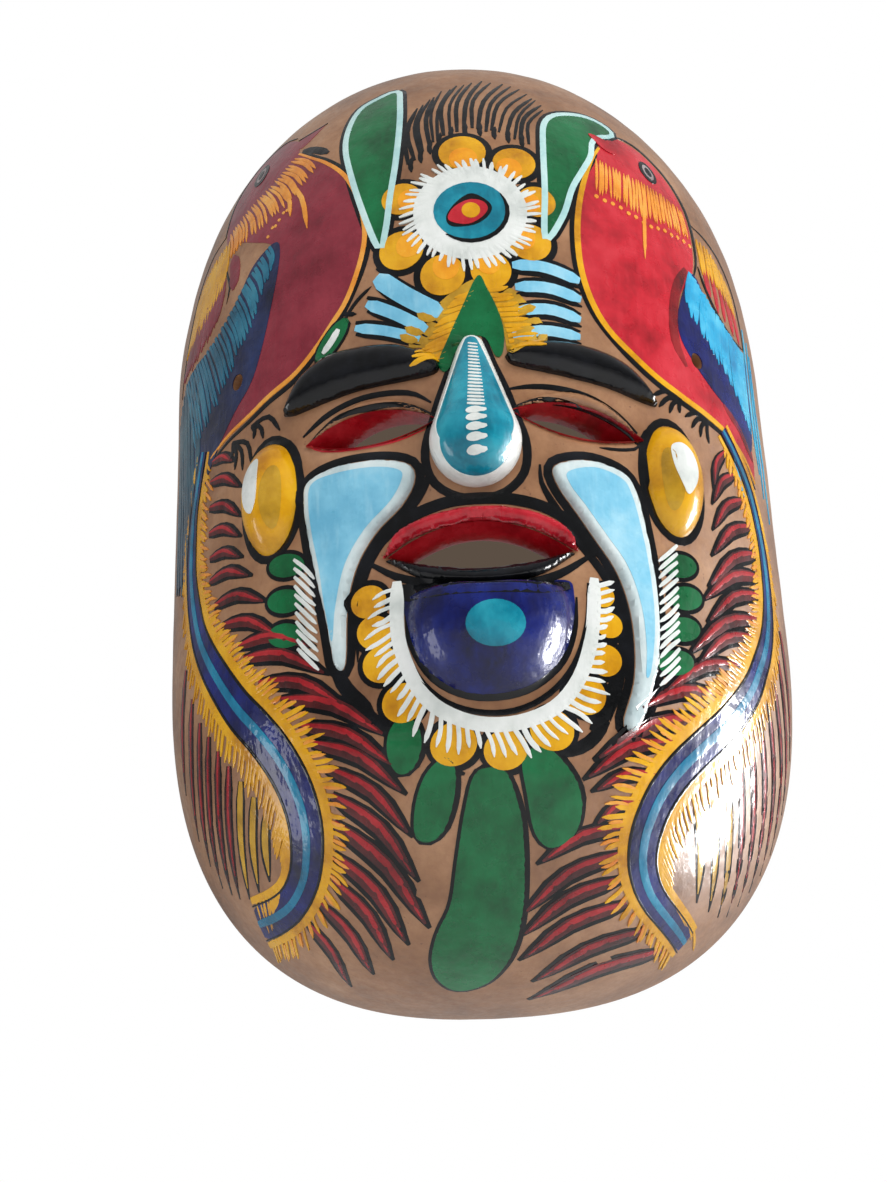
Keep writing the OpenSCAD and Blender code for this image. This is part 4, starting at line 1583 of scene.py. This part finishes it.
paint("right_bird_lines", draw_right_bird_lines, black)
right_fields = [paint("right_bird_body", draw_right_bird, red)]
paint("right_bird_breast_line", lambda flat: stroke(flat, RIGHT_BREAST, 1.9, 1.8, tips=(0.5, 0.5)), yellow)
paint("right_bird_ruff", draw_right_ruff, orange)
paint_eye("right_bird", (63.4, 88), 3.3, 4.9, 28)
paint("right_bird_back_feathers", draw_right_back, yellow)
paint("right_bird_back_reds", draw_right_back_reds, red)
paint("right_bird_wing_shade", draw_wing_shade, dark_red)
right_fields.append(paint("right_bird_wing", lambda flat: film(flat, RIGHT_WING_FIELD, 2.2), dark_blue))
for field in right_fields:
    cut(field, hole_cutter(1))
paint("right_bird_wing_strokes", draw_right_wing_strokes, cyan)
paint("right_bird_train_strokes", draw_right_train, cyan)

# %% [markdown]
# ## The tails
# Each bird's tail runs down the side of the mask as one long curve: a dark blue band with a turquoise
# stripe, yellow edges that are combed outwards into fringe, and feathers beyond. A feather is three strokes
# over each other, black, maroon and red, each narrower than the last, so the black shows as its outline.
# The paths are given one by one and the rest follows them.

# %% Tail helpers
def beside(path, offset, count=60, start=0.0, end=1.0):
    """A line that runs beside a path, at an offset given as a function of the share of its length."""
    shares = np.linspace(start, end, count)
    spots, normals = along(path, shares)
    return spots + normals * np.array([offset(s) for s in shares])[:, None]


class Tail:
    """One bird's tail. `inner` is 1 where the left-hand side of the path faces the chin."""

    def __init__(self, side, stripe, widest, inner_feathers, outer_feathers):
        self.name = "left_tail" if side < 0 else "right_tail"
        self.path = smooth(stripe, steps=8)
        self.inner = -side
        self.widest = widest
        self.inner_feathers = inner_feathers
        self.outer_feathers = outer_feathers

    def half_width(self, share):
        return self.widest / 2 * (0.38 + 0.62 * math.sin(min(1, share / 0.62) * math.pi / 2))

    def band(self, flat):
        stroke(flat, self.path, self.widest, 3, taper=(0.62, 0.98), tips=(0.38, 0.8), bend=False)

    def black_edges(self, flat):
        for way in (-1, 1):
            edge = beside(self.path, lambda s: way * (self.half_width(s) + 0.1))
            stroke(flat, edge, 0.9, 3.6, bend=False, tips=(0.5, 0.5))

    def stripe(self, flat):
        stroke(flat, self.path, 2.5, 4.2, bend=False, taper=(0.2, 0.95), tips=(0.5, 0.8))

    def yellow_edges(self, flat):
        for way in (-1, 1):
            edge = beside(self.path, lambda s: way * (self.half_width(s) + 1.7))
            stroke(flat, edge, 3.3, 2.4, bend=False, tips=(0.4, 0.6))
        for way, count, reach, lean in ((self.inner, 88, 6.6, 0.55), (-self.inner, 74, 7.4, 1.5)):
            shares = np.linspace(0.02, 0.985, count)
            spots, normals = along(self.path, shares)
            for share, spot, normal in zip(shares, spots, normals):
                ahead = np.array([normal[1], -normal[0]])
                away = normal * way
                start = spot + away * (self.half_width(share) + 1.2)
                drop = np.array([0, -1]) if way != self.inner else ahead
                direction = away + drop * lean
                direction = direction / np.hypot(*direction)
                length = reach * (0.55 + 0.45 * min(1, share / 0.5)) * (1 + jitter(0.3))
                dab(flat, start, start + direction * (length + 1), 1.15 * (1 + jitter(0.25)), 2.6,
                    jitter(0.6),
                    tips=(0.9, 0.2))

    def orange_fringe(self, flat):
        shares = np.linspace(0.05, 0.97, 46)
        spots, normals = along(self.path, shares)
        for share, spot, normal in zip(shares, spots, normals):
            away = normal * self.inner
            ahead = np.array([normal[1], -normal[0]])
            start = spot + away * (self.half_width(share) + 3.2)
            dab(flat, start, start + (away + ahead * 0.5) * (4.6 + jitter(1.4)), 0.9, 3, jitter(0.5),
                tips=(0.6, 0.2))

    def feathers(self, flat, share, layer, shift=0.0):
        for start, end in self.inner_feathers:
            start, end = np.array(start, float), np.array(end, float)
            length = np.hypot(*(end - start))
            bow = self.inner * (0.4 + 0.075 * length)
            width = (2.4 + 0.10 * length) * share
            way = (end - start) / length
            stop = end - way * (1 - share) * 5
            across = np.array([-way[1], way[0]]) * self.inner * shift
            dab(flat, start + across, stop + across, width, layer, bow, taper=(0.3, 0.55), tips=(0.5, 0.18))

    def hanging_feathers(self, flat, share, layer, first=0, last=99):
        for start, end in self.outer_feathers[first:last]:
            start, end = np.array(start, float), np.array(end, float)
            stop = end + (start - end) * (1 - share) * 0.25
            dab(flat, start, stop, 4.3 * share, layer, -self.inner * 0.8, taper=(0.2, 0.5),
                tips=(0.6, 0.15))

    def paint_all(self):
        n = len(self.outer_feathers)
        paint(self.name + "_feather_black", lambda f: (self.feathers(f, 1.0, 0.9),
                                                       self.hanging_feathers(f, 1.0, 0.9)), black)
        paint(self.name + "_feather_dark", lambda f: (self.feathers(f, 0.62, 1.6, 0.1),
                                                      self.hanging_feathers(f, 0.62, 1.6, 0, n - 3)),
              maroon)
        paint(self.name + "_feather_red", lambda f: (self.feathers(f, 0.28, 2.1, 0.5),
                                                     self.hanging_feathers(f, 0.26, 2.1, 0, n - 3)),
              feather_red)
        paint(self.name + "_feather_yellow", lambda f: self.hanging_feathers(f, 0.6, 1.8, n - 3), ochre)
        paint(self.name + "_edges", self.yellow_edges, yellow)
        paint(self.name + "_orange_fringe", self.orange_fringe, orange)
        paint(self.name + "_band", self.band, dark_blue)
        paint(self.name + "_band_lines", self.black_edges, black)
        paint(self.name + "_stripe", self.stripe, stripe_blue)


# %% Left tail
left_tail = Tail(
    -1,
    [(-93, 6), (-97, -5), (-99.3, -15), (-99.8, -30), (-97.8, -40), (-94, -50), (-88, -59), (-80.5, -68),
     (-72.5, -77), (-64.5, -84.5), (-57.5, -92.5), (-52.6, -101), (-50.2, -109), (-50, -117),
     (-52.5, -125.5),
     (-58.5, -131.5), (-67, -134), (-77, -134.5)],
    10.5,
    [((-87, 0), (-74, -4)), ((-88, -6), (-71, -13)), ((-88, -14), (-71, -22)), ((-88, -22), (-71, -28)),
     ((-87, -30), (-70, -34.5)), ((-87, -37), (-66, -41)), ((-84, -45), (-60, -50)),
     ((-80, -52), (-55, -61)),
     ((-72, -60), (-44, -66)), ((-70, -64), (-40, -74)), ((-64, -72), (-35, -83)), ((-56, -78), (-24, -92)),
     ((-50, -86), (-22, -100)), ((-46, -91), (-20, -107)), ((-42, -98), (-19, -118)),
     ((-41, -105), (-18, -130)),
     ((-41, -112), (-16, -144)), ((-42, -120), (-22, -149)), ((-43, -127), (-27, -154)),
     ((-48, -133), (-34, -159)),
     ((-54, -138), (-44, -163))],
    [((-104, -58), (-112, -92)), ((-98, -68), (-106, -106)), ((-93, -76), (-100, -114)),
     ((-88, -81), (-95, -121)),
     ((-83, -86), (-89, -124)), ((-78, -91), (-84, -126)), ((-73, -96), (-78, -127)),
     ((-68, -101), (-72, -126)),
     ((-63.5, -106), (-66, -124))])
left_tail.paint_all()

# %% Right tail
right_tail = Tail(
    1,
    [(84, 2), (90, -4), (96, -11), (100, -19), (102.4, -28), (103, -36), (102.4, -44), (100.4, -52),
     (96.6, -60.5),
     (91.5, -68), (85, -76), (74.5, -85.2), (64, -93), (54.8, -100.2), (48.4, -107), (44.4, -113.5),
     (42, -120.5),
     (41.8, -128), (45, -135.5), (52, -142), (62, -149)],
    8.6,
    [((84, -5), (75.5, -19)), ((88, -11), (74, -24)), ((91, -18), (73, -32)), ((95, -25), (71.5, -40)),
     ((97, -33), (69, -49.5)), ((97, -40), (66, -54)), ((95, -46), (67, -60)), ((92, -54), (59, -70)),
     ((88, -60), (62, -72)), ((80, -70), (49.5, -81)), ((71, -80), (40, -86.5)), ((64, -87), (28, -100)),
     ((52, -94), (25, -105)), ((46, -103), (27, -108)), ((41, -110), (27, -117)), ((37, -117), (12, -127)),
     ((35, -124), (7.6, -141.6)), ((35, -131), (7, -149)), ((37, -138), (6.6, -158)),
     ((44, -146), (10, -168)),
     ((52, -153), (9, -179))],
    [((112, -52), (121, -88)), ((107, -62), (117, -104)), ((102, -70), (112, -116)),
     ((96, -77), (105, -123)),
     ((90, -83), (98, -129)), ((84, -89), (91, -134)), ((78, -94), (84, -138)), ((72, -99), (77, -139)),
     ((66, -104), (70, -138)), ((60, -109), (63, -136))])
right_tail.paint_all()

# %% [markdown]
# ## Floor, light and camera
# The floor is pale and plain. The light is that of a room by day: a soft key from above on the
# right, weaker fill from the front and the left, and a tall window low on the right whose mirror
# image breaks up on the wavy enamel. The camera stands a little under the face and looks up at it.

# %% Floor
def build_floor():
    flat = bmesh.new()
    bmesh.ops.create_grid(flat, x_segments=8, y_segments=8, size=6)
    bmesh.ops.translate(flat, vec=(0, 0, -0.62), verts=flat.verts[:])
    mesh = bpy.data.meshes.new("floor")
    flat.to_mesh(mesh)
    flat.free()
    floor = bpy.data.objects.new("floor", mesh)
    bpy.context.scene.collection.objects.link(floor)
    material, tree, shader = new_material("pale_floor")
    shade = noise_node(tree, 3, detail=2)
    tree.links.new(ramp(tree, shade, [(0.3, (0.80, 0.80, 0.80, 1)), (0.7, (0.84, 0.84, 0.84, 1))]),
                   shader.inputs["Base Color"])
    shader.inputs["Roughness"].default_value = 0.9
    mesh.materials.append(material)


build_floor()

# %% Light
ROOM_DARK = 0.13
ROOM_BRIGHT = 0.42
WALL_LIGHT = 1.0
# The brown of the mask's painted shadow on the wall, seen through the eyes and the mouth
SHADED_WALL = (0.105, 0.078, 0.058, 1)
# Where the camera sees the wall through the eyes and the mouth, and half the size of that patch
SHADE_PLACE = (0, 0.90, 0.415)
SHADE_HALF_W = 0.14
SHADE_HALF_H = 0.075


def area_light(name, place, target, size, power, glossy=True, diffuse=True):
    """A soft rectangular light. Without `glossy` the enamel doesn't mirror it, so that black stays
    deep, and without `diffuse` it is only seen as a mirror image."""
    lamp = bpy.data.lights.new(name, "AREA")
    lamp.shape = "RECTANGLE"
    lamp.size, lamp.size_y = size
    lamp.energy = power
    light = bpy.data.objects.new(name, lamp)
    light.visible_glossy = glossy
    light.visible_diffuse = diffuse
    light.location = place
    light.rotation_euler = (Vector(target) - Vector(place)).to_track_quat("-Z", "Y").to_euler()
    bpy.context.scene.collection.objects.link(light)


def sky():
    """A room that is brighter above than below, with a white wall behind the mask. On the patch of wall
    straight behind the openings the mask's shadow is painted in brown."""
    world = bpy.data.worlds.new("sky")
    bpy.context.scene.world = world
    world.use_nodes = True
    tree = world.node_tree
    tree.nodes.clear()
    output = tree.nodes.new("ShaderNodeOutputWorld")
    background = tree.nodes.new("ShaderNodeBackground")
    place = tree.nodes.new("ShaderNodeTexCoord").outputs["Generated"]
    split = tree.nodes.new("ShaderNodeSeparateXYZ")
    tree.links.new(place, split.inputs["Vector"])
    room = ranged(tree, split.outputs["Z"], ROOM_DARK, ROOM_BRIGHT, -0.1, 0.9)
    shade = tree.nodes.new("ShaderNodeMapping")
    shade.vector_type = "POINT"
    shade.inputs["Scale"].default_value = (1 / SHADE_HALF_W, 1, 1 / SHADE_HALF_H)
    shade.inputs["Location"].default_value = (0, -SHADE_PLACE[1], -SHADE_PLACE[2] / SHADE_HALF_H)
    tree.links.new(place, shade.inputs["Vector"])
    distance = tree.nodes.new("ShaderNodeVectorMath")
    distance.operation = "LENGTH"
    tree.links.new(shade.outputs["Vector"], distance.inputs[0])
    lit = ranged(tree, distance.outputs["Value"], 0, 1, 0.95, 1.05)
    wall = mixed(tree, lit, SHADED_WALL, (WALL_LIGHT, WALL_LIGHT, WALL_LIGHT, 1))
    seen = tree.nodes.new("ShaderNodeLightPath").outputs["Is Camera Ray"]
    tree.links.new(mixed(tree, seen, room, wall), background.inputs["Color"])
    tree.links.new(background.outputs["Background"], output.inputs["Surface"])


sky()
area_light("window", (0.97, 0.06, -0.22), (0.06, -0.05, -0.08), (0.42, 1.3), 8.5, glossy=False)
area_light("window_glare", (0.99, 0.12, -0.34), (0.06, -0.05, -0.08), (0.36, 0.8), 34, diffuse=False)
area_light("key", (0.90, -1.00, 0.90), (0, 0, -0.02), (0.8, 0.8), 16, glossy=False)
area_light("front_fill", (-0.70, -2.00, 0.90), (0, 0, 0), (2.4, 2.0), 17, glossy=False)
area_light("left_fill", (-1.1, -0.20, -0.35), (0, 0, -0.08), (0.25, 0.6), 2.0)

# %% Camera
TARGET = Vector((0, -0.040, -0.042))
DISTANCE = 0.430
BELOW = math.radians(20)
ROLL = -0.045
forward = Vector((0, math.cos(BELOW), math.sin(BELOW)))
camera_data = bpy.data.cameras.new("camera")
camera_data.sensor_width = 36
camera_data.lens = 46.35
camera_data.shift_x = -0.028
camera_data.clip_start = 0.01
camera = bpy.data.objects.new("camera", camera_data)
camera.location = TARGET - forward * DISTANCE
turn = forward.to_track_quat("-Z", "Y").to_matrix()
turn = turn @ Matrix.Rotation(ROLL, 3, "Z")
camera.rotation_euler = turn.to_euler()
bpy.context.scene.collection.objects.link(camera)
bpy.context.scene.camera = camera
bpy.context.scene.view_settings.view_transform = "Standard"
